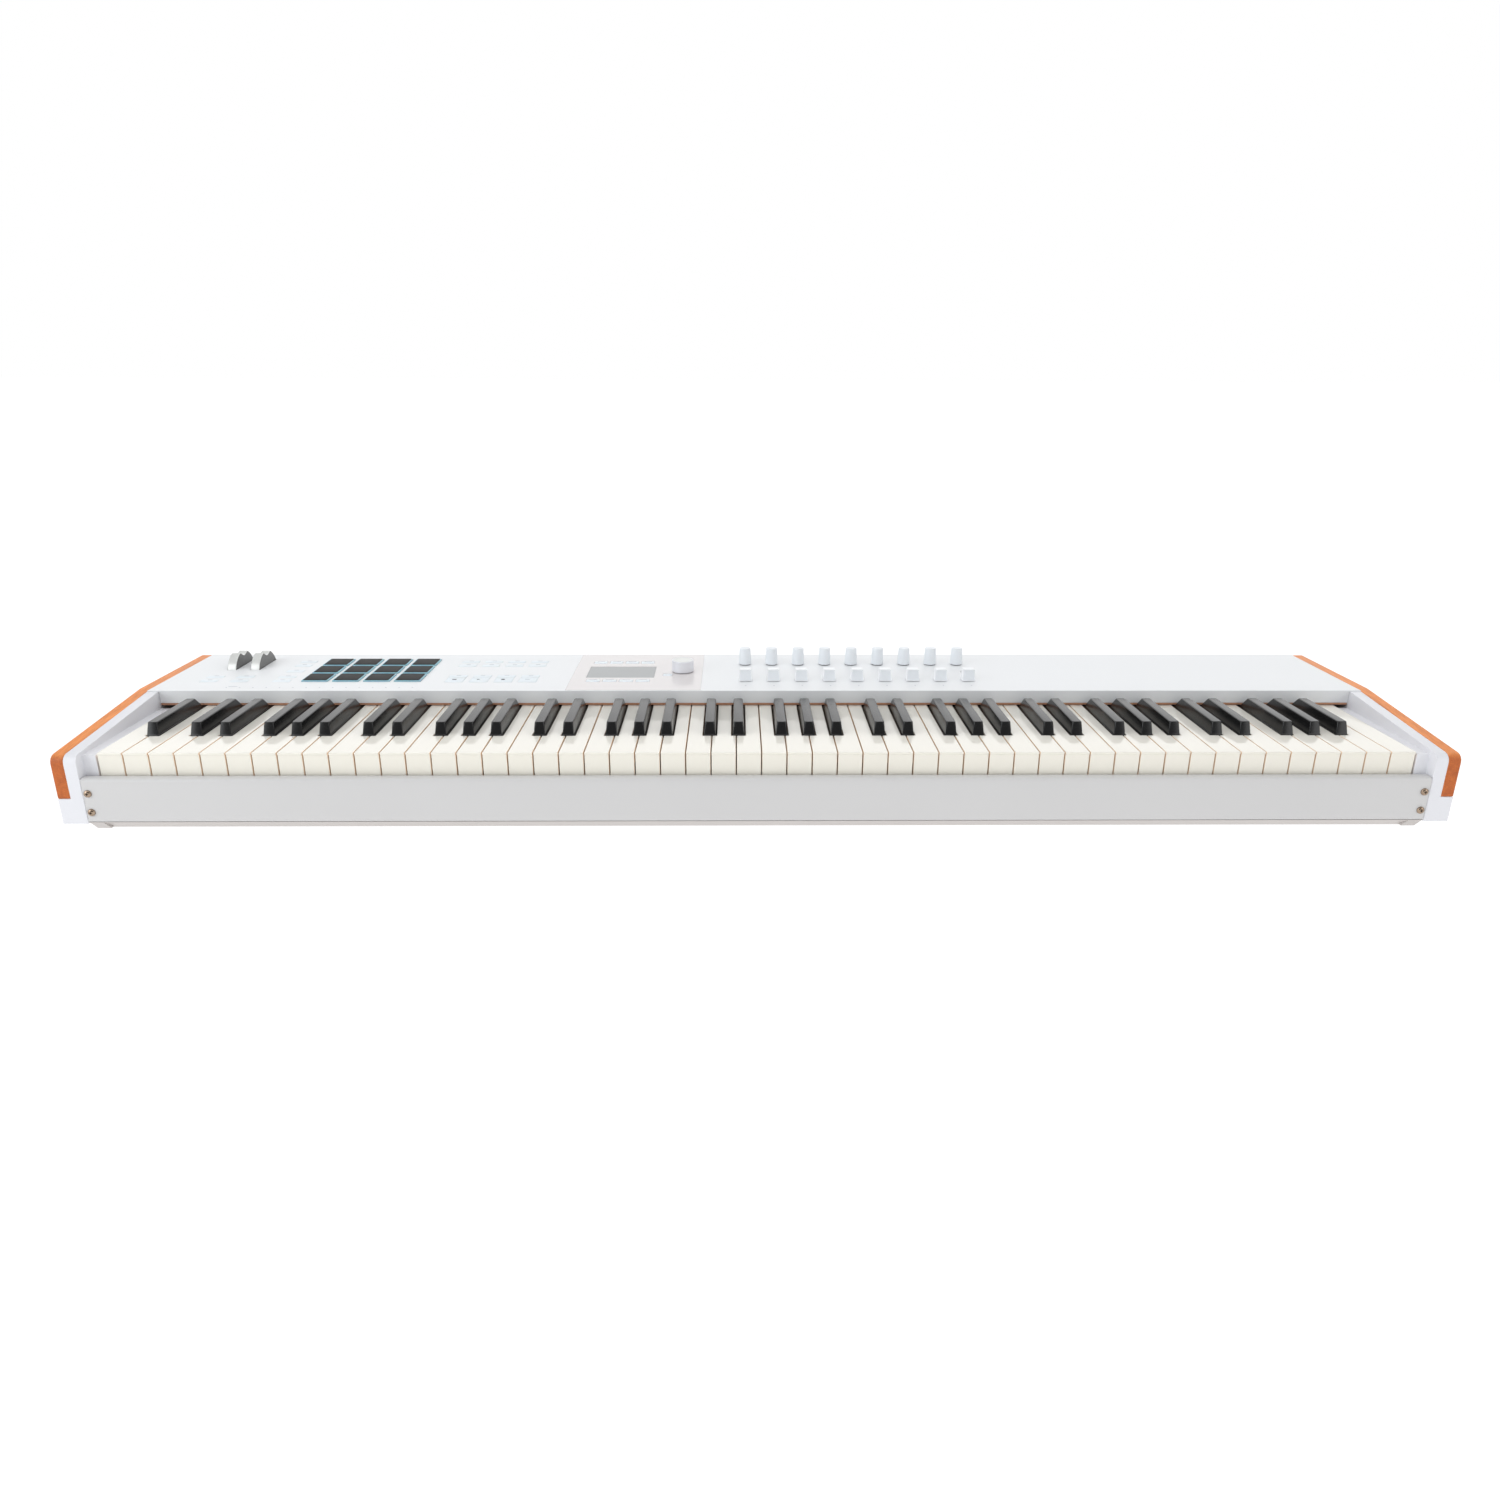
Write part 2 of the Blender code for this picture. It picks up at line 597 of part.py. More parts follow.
def pan_ring(inset, level, z):
    """Outline of the bevelled floor pan; level 0 is its rim and 1 its floor."""
    half = PAN_HALF_WIDTH[level] - inset
    return rectangle((-half, half), (PAN_FRONT_Y[level] + inset, PAN_BACK_Y[level] - inset), z)


def wheel_lug_spans():
    """The x spans of the three upright lugs that carry the wheels' axles."""
    between = sum(WHEEL_X) / 2
    reach = WHEEL_X[1] - between
    return [centred(between + k * 2 * reach, LUG_THICK) for k in (-1, 0, 1)]


def make_bottom_case():
    """Bevelled sheet floor with end runners, the rear wall, its socket holes and the wheel lugs."""
    pan = bmesh.new()
    loft(pan, [
        pan_ring(0, 1, PAN_BOTTOM_Z), pan_ring(0, 0, PAN_TOP_Z),
        pan_ring(PAN_THICK, 0, PAN_TOP_Z), pan_ring(PAN_THICK, 1, PAN_BOTTOM_Z + PAN_THICK),
    ])
    made = finish("bottom_case", pan, white_sheet())
    rear = PAN_BACK_Y[0]
    wall = bmesh.new()
    top = PANEL_TOP_Z - SHEET - GAP
    box(wall, (-PAN_HALF_WIDTH[0], PAN_HALF_WIDTH[0]), (rear - REAR_WALL_THICK, rear), (PAN_TOP_Z - MM, top))
    combine(made, wall, "UNION")
    runners = bmesh.new()
    for side in (-1, 1):
        spans = (mirrored(RUNNER_BOTTOM_X, side), mirrored(RUNNER_TOP_X, side))
        loft(runners, [rectangle(span, RUNNER_Y, z) for span, z in zip(spans, RUNNER_Z)])
    combine(made, runners, "UNION")
    lugs = bmesh.new()
    for span in wheel_lug_spans():
        height = (PAN_BOTTOM_Z + PAN_THICK / 2, LUG_TOP_Z)
        box(lugs, span, centred(WHEEL_Y, 2 * LUG_HALF_WIDTH), height)
    combine(made, lugs, "UNION")
    cuts = bmesh.new()
    past = (rear - REAR_WALL_THICK - MM, rear + MM)
    for x, radius in socket_holes():
        rod_y(cuts, x, SOCKET_Z, radius, past, 16)
    usb_x = centred(USB_X, USB_SIZE[0] + 2 * MM)
    box(cuts, usb_x, past, centred(SOCKET_Z, USB_SIZE[1] + 2 * MM))
    lugs_left, lugs_right = wheel_lug_spans()[0][0], wheel_lug_spans()[-1][1]
    rod_x(cuts, WHEEL_Y, WHEEL_Z, LUG_HOLE_RADIUS, (lugs_left - MM, lugs_right + MM))
    combine(made, cuts, "DIFFERENCE")


def make_feet():
    rubber = material("rubber", (0.03, 0.03, 0.03), 0.85)
    top = PAN_BOTTOM_Z - GAP
    profile = [(0.9 * FOOT_RADIUS, FOOT_BOTTOM_Z), (FOOT_RADIUS, FOOT_BOTTOM_Z + MM), (FOOT_RADIUS, top)]
    for side, side_name in ((-1, "left"), (1, "right")):
        for y, end_name in zip(FOOT_Y, ("front", "rear")):
            foot = bmesh.new()
            turned(foot, (side * FOOT_X, y), profile, 20)
            finish("foot_" + end_name + "_" + side_name, foot, rubber)


# ---------------------------------------------------------------- panel and controls

def cap_spans(blocks):
    """The x and y spans of every button cap in the blocks."""
    for block in blocks:
        for column in range(block.columns):
            for row in range(block.rows):
                x = block.x + column * block.pitch[0]
                y = block.y + row * block.pitch[1]
                yield (x, x + block.width), (y, y + block.depth)


def pad_spans():
    for column in range(PAD_COUNT[0]):
        for row in range(PAD_COUNT[1]):
            x = PAD_ORIGIN[0] + column * PAD_PITCH[0]
            y = PAD_ORIGIN[1] + row * PAD_PITCH[1]
            yield (x, x + PAD_SIZE), (y, y + PAD_SIZE)


def channel_xs():
    return [CHANNEL_X + k * CHANNEL_PITCH for k in range(CHANNEL_COUNT)]


def grown(span, margin=GAP):
    return (span[0] - margin, span[1] + margin)


def fader_slot_y():
    return (FADER_Y - FADER_STEM[1] / 2 - GAP, FADER_Y + FADER_TRAVEL + FADER_STEM[1] / 2 + GAP)


def wheel_slot_y():
    """Where a wheel passes through the sheet, at the sheet's lower face."""
    drop = PANEL_TOP_Z - SHEET - WHEEL_Z
    half = math.sqrt(WHEEL_RADIUS ** 2 - drop ** 2)
    return centred(WHEEL_Y, 2 * (half + 2 * GAP))


def make_control_panel():
    """Folded top sheet with a front lip, cut out for every control."""
    low = PANEL_TOP_Z - SHEET
    half = WOOD_X[0] - GAP
    sheet = bmesh.new()
    box(sheet, (-half, half), (PANEL_FRONT_Y, BACK_Y), (low, PANEL_TOP_Z))
    made = finish("control_panel", sheet, white_sheet())
    lip = bmesh.new()
    lip_half = CHEEK_INNER_X - GAP
    box(lip, (-lip_half, lip_half), (PANEL_FRONT_Y, PANEL_FRONT_Y + SHEET), (LIP_BOTTOM_Z, low + SHEET / 2))
    combine(made, lip, "UNION")
    past = (low - MM, PANEL_TOP_Z + MM)
    cuts = bmesh.new()
    for x_span, y_span in list(cap_spans(LEFT_CAPS)) + list(pad_spans()):
        box(cuts, grown(x_span), grown(y_span), past)
    for x in channel_xs():
        turned(cuts, (x, KNOB_Y), [(SHAFT_RADIUS + GAP, past[0]), (SHAFT_RADIUS + GAP, past[1])], 12)
        box(cuts, centred(x, FADER_SLOT_WIDTH), fader_slot_y(), past)
    for x in WHEEL_X:
        box(cuts, centred(x, WHEEL_WIDTH + 4 * GAP), wheel_slot_y(), past)
    box(cuts, grown(FACEPLATE_X), grown(FACEPLATE_Y), past)
    combine(made, cuts, "DIFFERENCE")


def make_display_faceplate():
    low, high = PANEL_TOP_Z - SHEET, PANEL_TOP_Z + 0.1 * MM
    plate = bmesh.new()
    box(plate, FACEPLATE_X, FACEPLATE_Y, (low, high))
    made = finish("display_faceplate", plate, material("faceplate", (0.86, 0.83, 0.83), 0.15))
    past = (low - MM, high + MM)
    cuts = bmesh.new()
    for x_span, y_span in cap_spans(DISPLAY_CAPS):
        box(cuts, grown(x_span), grown(y_span), past)
    box(cuts, grown(SCREEN_X), grown(SCREEN_Y), past)
    turned(cuts, DIAL_CENTRE, [(SHAFT_RADIUS + GAP, past[0]), (SHAFT_RADIUS + GAP, past[1])], 16)
    combine(made, cuts, "DIFFERENCE")


def make_display_screen():
    screen = bmesh.new()
    box(screen, SCREEN_X, SCREEN_Y, (SCREEN_BOTTOM_Z, PANEL_TOP_Z))
    finish("display_screen", screen, material("screen", (0.45, 0.47, 0.48), 0.1))


def make_button_mat(name, blocks, strips):
    """Silicone sheet under the panel, cut to strips, with one cap per button."""
    mat = bmesh.new()
    box(mat, strips[0][0], strips[0][1], MAT_Z)
    made = finish(name, mat, white_plastic())
    for x_span, y_span in strips[1:]:
        more = bmesh.new()
        box(more, x_span, y_span, MAT_Z)
        combine(made, more, "UNION")
    caps = bmesh.new()
    for x_span, y_span in cap_spans(blocks):
        box(caps, x_span, y_span, (MAT_Z[0] + 0.3 * MM, CAP_TOP_Z))
    combine(made, caps, "UNION")


def block_span(blocks):
    """The x and y span of some cap blocks, with the sheet's margin round them."""
    spans = list(cap_spans(blocks))
    xs = [x for span in spans for x in span[0]]
    ys = [y for span in spans for y in span[1]]
    return grown((min(xs), max(xs)), MAT_MARGIN), grown((min(ys), max(ys)), MAT_MARGIN)


def make_button_mats():
    front_row = block_span((LEFT_CAPS[0], LEFT_CAPS[1], LEFT_CAPS[4]))
    make_button_mat("button_mat_left", LEFT_CAPS,
                    [front_row, block_span(LEFT_CAPS[1:4]), block_span(LEFT_CAPS[4:])])
    make_button_mat("button_mat_display", DISPLAY_CAPS, [block_span(DISPLAY_CAPS)])


def make_pad_mat():
    spans = list(pad_spans())
    x_span = grown((spans[0][0][0], spans[-1][0][1]), MAT_MARGIN)
    y_span = grown((spans[0][1][0], spans[-1][1][1]), MAT_MARGIN)
    mat = bmesh.new()
    box(mat, x_span, y_span, PAD_MAT_Z)
    made = finish("pad_mat", mat, material("pad_silicone", (0.05, 0.05, 0.055), 0.6))
    pads = bmesh.new()
    for pad_x, pad_y in spans:
        box(pads, pad_x, pad_y, (PAD_MAT_Z[0] + 0.3 * MM, PAD_TOP_Z))
    combine(made, pads, "UNION")


def turned_control(name, centre, outline, skin, segments):
    """Knob on its shaft: the outline rises from the panel, the shaft goes down through it."""
    base = PANEL_TOP_Z + KNOB_LIFT
    profile = [(SHAFT_RADIUS, SHAFT_BOTTOM_Z), (SHAFT_RADIUS, base)]
    profile += [(radius, base + rise) for radius, rise in outline]
    body = bmesh.new()
    turned(body, centre, profile, segments)
    finish(name, body, skin, (centre[0], centre[1], PANEL_TOP_Z))


def make_knobs():
    base, top = KNOB_RADIUS
    height = KNOB_HEIGHT - KNOB_LIFT
    outline = [(base, 0), (base, 0.08 * height), (top, 0.93 * height), (0.85 * top, height)]
    for number, x in enumerate(channel_xs(), 1):
        turned_control("knob_%d" % number, (x, KNOB_Y), outline, white_plastic(), 20)


def make_main_dial():
    height = DIAL_HEIGHT - KNOB_LIFT
    rim, dish = 0.9 * DIAL_RADIUS, 0.8 * MM
    outline = [
        (DIAL_RADIUS, 0), (DIAL_RADIUS, 0.93 * height), (0.95 * DIAL_RADIUS, height),
        (rim, height), (0.5 * rim, height - dish),
    ]
    turned_control("main_dial", DIAL_CENTRE, outline, white_plastic(), 28)


def make_fader_caps():
    """Tapered caps, each on a blade that runs in its slot."""
    for number, x in enumerate(channel_xs(), 1):
        base_z = PANEL_TOP_Z + KNOB_LIFT
        cap = bmesh.new()
        stem = (centred(x, FADER_STEM[0]), centred(FADER_Y, FADER_STEM[1]))
        loft(cap, [
            rectangle(*stem, SHAFT_BOTTOM_Z),
            rectangle(*stem, base_z),
            rectangle(centred(x, FADER_BASE[0]), centred(FADER_Y, FADER_BASE[1]), base_z),
            rectangle(centred(x, FADER_TOP[0]), centred(FADER_Y, FADER_TOP[1]), PANEL_TOP_Z + FADER_HEIGHT),
        ])
        finish("fader_cap_%d" % number, cap, white_plastic(), (x, FADER_Y, PANEL_TOP_Z))


def wheel_radius_at(angle):
    """Wheel radius at an angle from the top, towards the front, with the finger groove."""
    away = abs(angle - WHEEL_GROOVE_ANGLE) / WHEEL_GROOVE_HALF
    groove = WHEEL_GROOVE_DEPTH * math.cos(away * math.pi / 2) if away < 1 else 0
    return WHEEL_RADIUS - groove


def make_wheels():
    skin = material("wheel_silver", (0.55, 0.55, 0.53), 0.35, 0.6)
    steps = 60
    for name, x in zip(("pitch_wheel", "mod_wheel"), WHEEL_X):
        outline = []
        for i in range(steps):
            angle = -math.pi + 2 * math.pi * i / steps
            radius = wheel_radius_at(angle)
            outline.append((WHEEL_Y - radius * math.sin(angle), WHEEL_Z + radius * math.cos(angle)))
        disc = bmesh.new()
        extrude_x(disc, outline, centred(x, WHEEL_WIDTH))
        made = finish(name, disc, skin, (x, WHEEL_Y, WHEEL_Z))
        axle = bmesh.new()
        pitch = WHEEL_X[1] - WHEEL_X[0]
        rod_x(axle, WHEEL_Y, WHEEL_Z, WHEEL_AXLE_RADIUS, centred(x, pitch - 2 * GAP))
        combine(made, axle, "UNION")


# ---------------------------------------------------------------- electronics

def socket_holes():
    """The x position and hole radius of each round rear socket."""
    holes = [(x, JACK_BORE_RADIUS + 1.2 * MM) for x in JACK_X]
    holes += [(x, MIDI_RADIUS) for x in MIDI_X]
    holes.append((POWER_X, POWER_RADIUS))
    return holes


def make_main_board():
    """Circuit board with encoder and fader bodies on top and the socket housings behind."""
    board = bmesh.new()
    box(board, BOARD_X, BOARD_Y, BOARD_Z)
    made = finish("main_board", board, material("board", (0.03, 0.14, 0.07), 0.5))
    bodies = bmesh.new()
    bottom = BOARD_Z[0] + 0.5 * MM
    encoder = 11 * MM
    for x in channel_xs():
        box(bodies, centred(x, encoder), centred(KNOB_Y, encoder), (bottom, COMPONENT_TOP_Z))
        box(bodies, centred(x, 8 * MM), grown(fader_slot_y(), 4 * MM), (bottom, COMPONENT_TOP_Z))
    box(bodies, centred(DIAL_CENTRE[0], encoder), centred(DIAL_CENTRE[1], encoder), (bottom, COMPONENT_TOP_Z))
    combine(made, bodies, "UNION")
    rear = PAN_BACK_Y[0] - REAR_WALL_THICK - GAP
    housings = bmesh.new()
    socket_top = BOARD_Z[0] + 0.5 * MM
    for x in JACK_X + MIDI_X + (USB_X, POWER_X):
        span = centred(x, 2 * JACK_HALF_WIDTH + 2 * MM)
        box(housings, span, (SOCKET_FRONT_Y, rear), (SOCKET_Z - SOCKET_HALF_HEIGHT, socket_top))
    combine(made, housings, "UNION")
    bores = bmesh.new()
    for x in JACK_X:
        rod_y(bores, x, SOCKET_Z, JACK_BORE_RADIUS, (rear - JACK_BORE_DEPTH, rear + MM), 16)
    for x in MIDI_X:
        rod_y(bores, x, SOCKET_Z, MIDI_RADIUS - MM, (rear - 2 * MM, rear + MM), 16)
    box(bores, centred(USB_X, USB_SIZE[0]), (rear - 7 * MM, rear + MM), centred(SOCKET_Z, USB_SIZE[1]))
    rod_y(bores, POWER_X, SOCKET_Z, POWER_RADIUS - 0.5 * MM, (rear - 9 * MM, rear + MM))
    combine(made, bores, "DIFFERENCE")


def main():
    clear_scene()
    make_bottom_case()
    make_keybed_frame()
    make_keyboard()
    make_felt_strip()
    for side, side_name in ((-1, "left"), (1, "right")):
        make_cheek("cheek_" + side_name, side)
        make_wood_side("wood_side_" + side_name, side)
    make_front_rail()
    make_rail_screws()
    make_feet()
    make_main_board()
    make_control_panel()
    make_display_faceplate()
    make_display_screen()
    make_button_mats()
    make_pad_mat()
    make_knobs()
    make_main_dial()
    make_fader_caps()
    make_wheels()


main()
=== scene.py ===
"""Looks of the 88-key synthesizer keyboard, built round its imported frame."""
import math

import bmesh
import bpy
from mathutils import Matrix, Vector


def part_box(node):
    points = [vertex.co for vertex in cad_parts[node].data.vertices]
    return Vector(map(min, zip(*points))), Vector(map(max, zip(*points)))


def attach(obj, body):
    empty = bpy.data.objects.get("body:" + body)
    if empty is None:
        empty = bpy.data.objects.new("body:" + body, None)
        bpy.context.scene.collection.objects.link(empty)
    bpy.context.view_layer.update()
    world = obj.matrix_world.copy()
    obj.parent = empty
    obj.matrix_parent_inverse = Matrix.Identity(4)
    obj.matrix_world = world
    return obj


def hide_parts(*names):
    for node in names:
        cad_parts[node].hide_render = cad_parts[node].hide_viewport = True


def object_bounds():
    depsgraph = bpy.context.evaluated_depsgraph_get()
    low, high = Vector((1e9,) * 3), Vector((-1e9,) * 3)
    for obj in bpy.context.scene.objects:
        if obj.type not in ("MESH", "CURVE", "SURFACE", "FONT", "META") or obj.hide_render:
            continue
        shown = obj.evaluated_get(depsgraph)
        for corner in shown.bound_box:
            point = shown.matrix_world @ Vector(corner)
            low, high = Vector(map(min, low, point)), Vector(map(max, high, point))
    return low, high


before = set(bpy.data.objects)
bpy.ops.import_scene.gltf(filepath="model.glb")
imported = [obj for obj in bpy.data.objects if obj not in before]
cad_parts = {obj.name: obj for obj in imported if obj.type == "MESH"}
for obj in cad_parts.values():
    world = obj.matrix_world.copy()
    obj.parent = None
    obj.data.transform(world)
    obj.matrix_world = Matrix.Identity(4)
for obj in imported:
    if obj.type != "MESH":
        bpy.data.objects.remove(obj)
CAD_BOUNDS = [list(corner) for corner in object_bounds()]

MM = 0.001
FIRST_NOTE = 21
LAST_NOTE = 108
MIDDLE_OCTAVE = range(60, 72)
NOTE_NAMES = ("c", "cs", "d", "ds", "e", "f", "fs", "g", "gs", "a", "as", "b")
BLACK_CLASSES = (1, 3, 6, 8, 10)

C4_LOW, C4_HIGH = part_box("key_c4")
B4_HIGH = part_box("key_b4")[1]
CASE = "case"
KEY_FRONT_Y = C4_LOW.y
KEY_TOP_Z = C4_HIGH.z
KEY_WIDTH = C4_HIGH.x - C4_LOW.x
KEY_PITCH = (B4_HIGH.x - C4_HIGH.x) / 6
OCTAVE = 7 * KEY_PITCH
PANEL_LOW, PANEL_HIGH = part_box("control_panel")
PANEL_TOP = PANEL_HIGH.z
FLOOR_Z = CAD_BOUNDS[0][2]

CAMERA_YAW, CAMERA_PITCH, CAMERA_ROLL = 0.83, 19.5, 0.22      # degrees
CAMERA_LENS = 25.87                                           # mm, on a 36 mm sensor
CAMERA_EYE = Vector((-0.0245, KEY_FRONT_Y - 0.9383, KEY_TOP_Z + 0.3348))
KEY_LIGHT_TINT = (0.94, 0.975, 1.0)
FLOOR_HALF_SIZE = 40
FLOOR_DROP = 0.2 * MM                # keeps the floor off the feet's faces


# ---------------------------------------------------------------- camera, light, floor

def make_camera():
    """Camera just left of the middle, above and in front of the keys, looking down at them."""
    yaw, pitch, roll = (math.radians(angle) for angle in (CAMERA_YAW, CAMERA_PITCH, CAMERA_ROLL))
    forward = Vector((math.sin(yaw) * math.cos(pitch), math.cos(yaw) * math.cos(pitch), -math.sin(pitch)))
    level = Vector((math.cos(yaw), -math.sin(yaw), 0))
    upright = level.cross(forward)
    right = math.cos(roll) * level + math.sin(roll) * upright
    up = math.cos(roll) * upright - math.sin(roll) * level
    data = bpy.data.cameras.new("camera")
    data.sensor_width = 36
    data.lens = CAMERA_LENS
    data.clip_start = 0.05
    camera = bpy.data.objects.new("camera", data)
    turn = Matrix((right, up, -forward)).transposed().to_4x4()
    camera.matrix_world = Matrix.Translation(CAMERA_EYE) @ turn
    bpy.context.scene.collection.objects.link(camera)
    bpy.context.scene.camera = camera


def area_light(name, place, target, size, power, colour=(1, 1, 1)):
    """Rectangular soft box aimed at a point; the camera doesn't see it."""
    data = bpy.data.lights.new(name, "AREA")
    data.shape = "RECTANGLE"
    data.size, data.size_y = size
    data.energy = power
    data.color = colour
    light = bpy.data.objects.new(name, data)
    light.location = place
    aim = Vector(target) - Vector(place)
    light.rotation_euler = aim.to_track_quat("-Z", "Y").to_euler()
    light.visible_camera = False
    bpy.context.scene.collection.objects.link(light)


def make_light():
    """White studio: the camera sees pure white, and dimmer surroundings light the object.

    A wide soft box stands behind, one hangs above, three are in front and one is at each side."""
    scene = bpy.context.scene
    scene.view_settings.view_transform = "Standard"
    world = bpy.data.worlds.new("studio")
    scene.world = world
    world.use_nodes = True
    nodes, links = world.node_tree.nodes, world.node_tree.links
    seen = nodes["Background"]
    seen.inputs["Strength"].default_value = 1.0
    lighting = nodes.new("ShaderNodeBackground")
    lighting.inputs["Strength"].default_value = 0.22
    lighting.inputs["Color"].default_value = (0.985, 0.99, 1.0, 1)
    seen.inputs["Color"].default_value = (1, 1, 1, 1)
    mix = nodes.new("ShaderNodeMixShader")
    path = nodes.new("ShaderNodeLightPath")
    links.new(path.outputs["Is Camera Ray"], mix.inputs["Fac"])
    links.new(lighting.outputs["Background"], mix.inputs[1])
    links.new(seen.outputs["Background"], mix.inputs[2])
    links.new(mix.outputs["Shader"], nodes["World Output"].inputs["Surface"])
    area_light("soft_box_above", (0, 0.3, 2.3), (0, 0, 0), (2.8, 2.2), 22)
    area_light("soft_box_back", (0.8, 3.2, 1.65), (0.8, 0, 0.1), (7.4, 2.9), 73)
    area_light("soft_box_front_left", (-2.5, -1.7, 1.05), (-0.62, 0, 0.05), (1.9, 2.1), 34, KEY_LIGHT_TINT)
    area_light("soft_box_front_right", (2.4, -2.0, 1.1), (0.5, 0, 0.05), (1.9, 2.1), 20)
    area_light("soft_box_front_high", (-0.9, -2.0, 2.2), (-0.3, 0.1, 0.1), (3.2, 0.9), 14)
    area_light("soft_box_left", (-2.4, 0.1, 1.2), (0.3, 0, 0.1), (1.6, 1.2), 9.5)
    area_light("soft_box_right", (2.4, 0.1, 1.2), (-0.3, 0, 0.1), (1.6, 1.2), 9)


def make_floor():
    """Large white floor that glows almost as bright as the background and keeps faint shadows."""
    bm = bmesh.new()
    bmesh.ops.create_grid(bm, x_segments=1, y_segments=1, size=FLOOR_HALF_SIZE)
    mesh = bpy.data.meshes.new("floor")
    bm.to_mesh(mesh)
    bm.free()
    floor = bpy.data.objects.new("floor", mesh)
    floor.location.z = FLOOR_Z - FLOOR_DROP
    bpy.context.scene.collection.objects.link(floor)
    paint = bpy.data.materials.new("floor_white")
    paint.use_nodes = True
    shader = paint.node_tree.nodes["Principled BSDF"]
    shader.inputs["Base Color"].default_value = (0.12, 0.12, 0.12, 1)
    shader.inputs["Roughness"].default_value = 0.9
    shader.inputs["Emission Color"].default_value = (1, 1, 1, 1)
    shader.inputs["Emission Strength"].default_value = 0.98
    mesh.materials.append(paint)


# ---------------------------------------------------------------- materials

MATERIALS = {}


def surface(name, colour, second, scale, roughness, spread, grain_scale, grain, **sockets):
    """Principled material: two noise-mixed colours, uneven roughness and a fine moulded grain."""
    if name in MATERIALS:
        return MATERIALS[name]
    made = bpy.data.materials.new(name)
    made.use_nodes = True
    nodes, links = made.node_tree.nodes, made.node_tree.links
    shader = nodes["Principled BSDF"]
    coords = nodes.new("ShaderNodeTexCoord")
    cloud = nodes.new("ShaderNodeTexNoise")
    cloud.inputs["Scale"].default_value = scale
    cloud.inputs["Detail"].default_value = 4
    links.new(coords.outputs["Object"], cloud.inputs["Vector"])
    mix = nodes.new("ShaderNodeMix")
    mix.data_type = "RGBA"
    mix.inputs["A"].default_value = (*colour, 1)
    mix.inputs["B"].default_value = (*second, 1)
    links.new(cloud.outputs["Fac"], mix.inputs["Factor"])
    links.new(mix.outputs["Result"], shader.inputs["Base Color"])
    uneven = nodes.new("ShaderNodeMapRange")
    uneven.inputs["To Min"].default_value = roughness - spread
    uneven.inputs["To Max"].default_value = roughness + spread
    links.new(cloud.outputs["Fac"], uneven.inputs["Value"])
    links.new(uneven.outputs["Result"], shader.inputs["Roughness"])
    fine = nodes.new("ShaderNodeTexNoise")
    fine.inputs["Scale"].default_value = grain_scale
    fine.inputs["Detail"].default_value = 2
    links.new(coords.outputs["Object"], fine.inputs["Vector"])
    bump = nodes.new("ShaderNodeBump")
    bump.inputs["Strength"].default_value = grain
    bump.inputs["Distance"].default_value = 0.05 * MM
    links.new(fine.outputs["Fac"], bump.inputs["Height"])
    links.new(bump.outputs["Normal"], shader.inputs["Normal"])
    for socket, value in sockets.items():
        shader.inputs[socket.replace("_", " ")].default_value = value
    MATERIALS[name] = made
    return made


def white_sheet():
    return surface("white_sheet", (0.80, 0.815, 0.83), (0.825, 0.84, 0.855), 9, 0.42, 0.04, 2600, 0.35)


# Darker copy of the panel's white paint for the front rail: painted shade on its front face.
def rail_coat_painted_shade():
    return surface("rail_coat_painted_shade", (0.61, 0.605, 0.605), (0.64, 0.635, 0.635), 7, 0.42, 0.04, 2600, 0.35)


def white_plastic():
    return surface("white_plastic", (0.765, 0.77, 0.81), (0.79, 0.795, 0.83), 25, 0.42, 0.05, 3200, 0.25)


def knob_plastic():
    return surface("knob_plastic", (0.80, 0.835, 0.87), (0.83, 0.86, 0.89), 60, 0.35, 0.05, 4000, 0.2)


# Lighter copy of the knobs' plastic for the fader caps: painted highlight on their rims.
def fader_cap_painted_highlight():
    return surface("fader_cap_painted_highlight", (0.88, 0.895, 0.92), (0.90, 0.915, 0.935), 60, 0.32, 0.05, 4000, 0.1)


# Darker, warmer copy of the panel paint for the bottom case: its darker tone is painted shade under the
# front.
def painted_shade_case_coat():
    return surface("case_coat_painted_shade", (0.57, 0.535, 0.515), (0.61, 0.575, 0.555), 12, 0.5, 0.05, 2600, 0.4)


def ivory():
    return surface("key_ivory", (0.88, 0.855, 0.785), (0.90, 0.875, 0.805), 40, 0.07, 0.02, 900, 0.02)


# Darker, warmer copy of the key ivory for the keys' fronts and undersides: painted shade.
def ivory_painted_shade():
    return surface("key_ivory_painted_shade", (0.855, 0.825, 0.735), (0.885, 0.855, 0.77), 40, 0.24, 0.05, 1500, 0.06)


# Tan copy of the key ivory for the keys' sides: painted shade in the gaps between keys.
def key_flank_painted_gap_shade():
    return surface("key_flank_painted_gap_shade", (0.88, 0.69, 0.52), (0.93, 0.77, 0.60), 60, 0.5, 0.05, 1500, 0.1)


def ebony():
    return surface("key_black", (0.005, 0.0052, 0.0055), (0.008, 0.0083, 0.0088), 60, 0.24, 0.04, 900, 0.03)


def felt_red():
    return surface("felt", (0.46, 0.21, 0.12), (0.62, 0.33, 0.21), 900, 0.95, 0.03, 2400, 1.0,
                   Sheen_Weight=0.4)


def faceplate_gloss():
    return surface("faceplate_gloss", (0.69, 0.66, 0.66), (0.715, 0.685, 0.685), 15, 0.16, 0.03, 900, 0.04)


def cap_white():
    return surface("cap_white", (0.82, 0.865, 0.90), (0.845, 0.885, 0.915), 90, 0.4, 0.04, 3500, 0.2,
                   Subsurface_Weight=0.1)


def pad_charcoal():
    return surface("pad_charcoal", (0.012, 0.0115, 0.0115), (0.022, 0.021, 0.021), 300, 0.62, 0.06, 2600, 0.5,
                   Specular_IOR_Level=0.25)


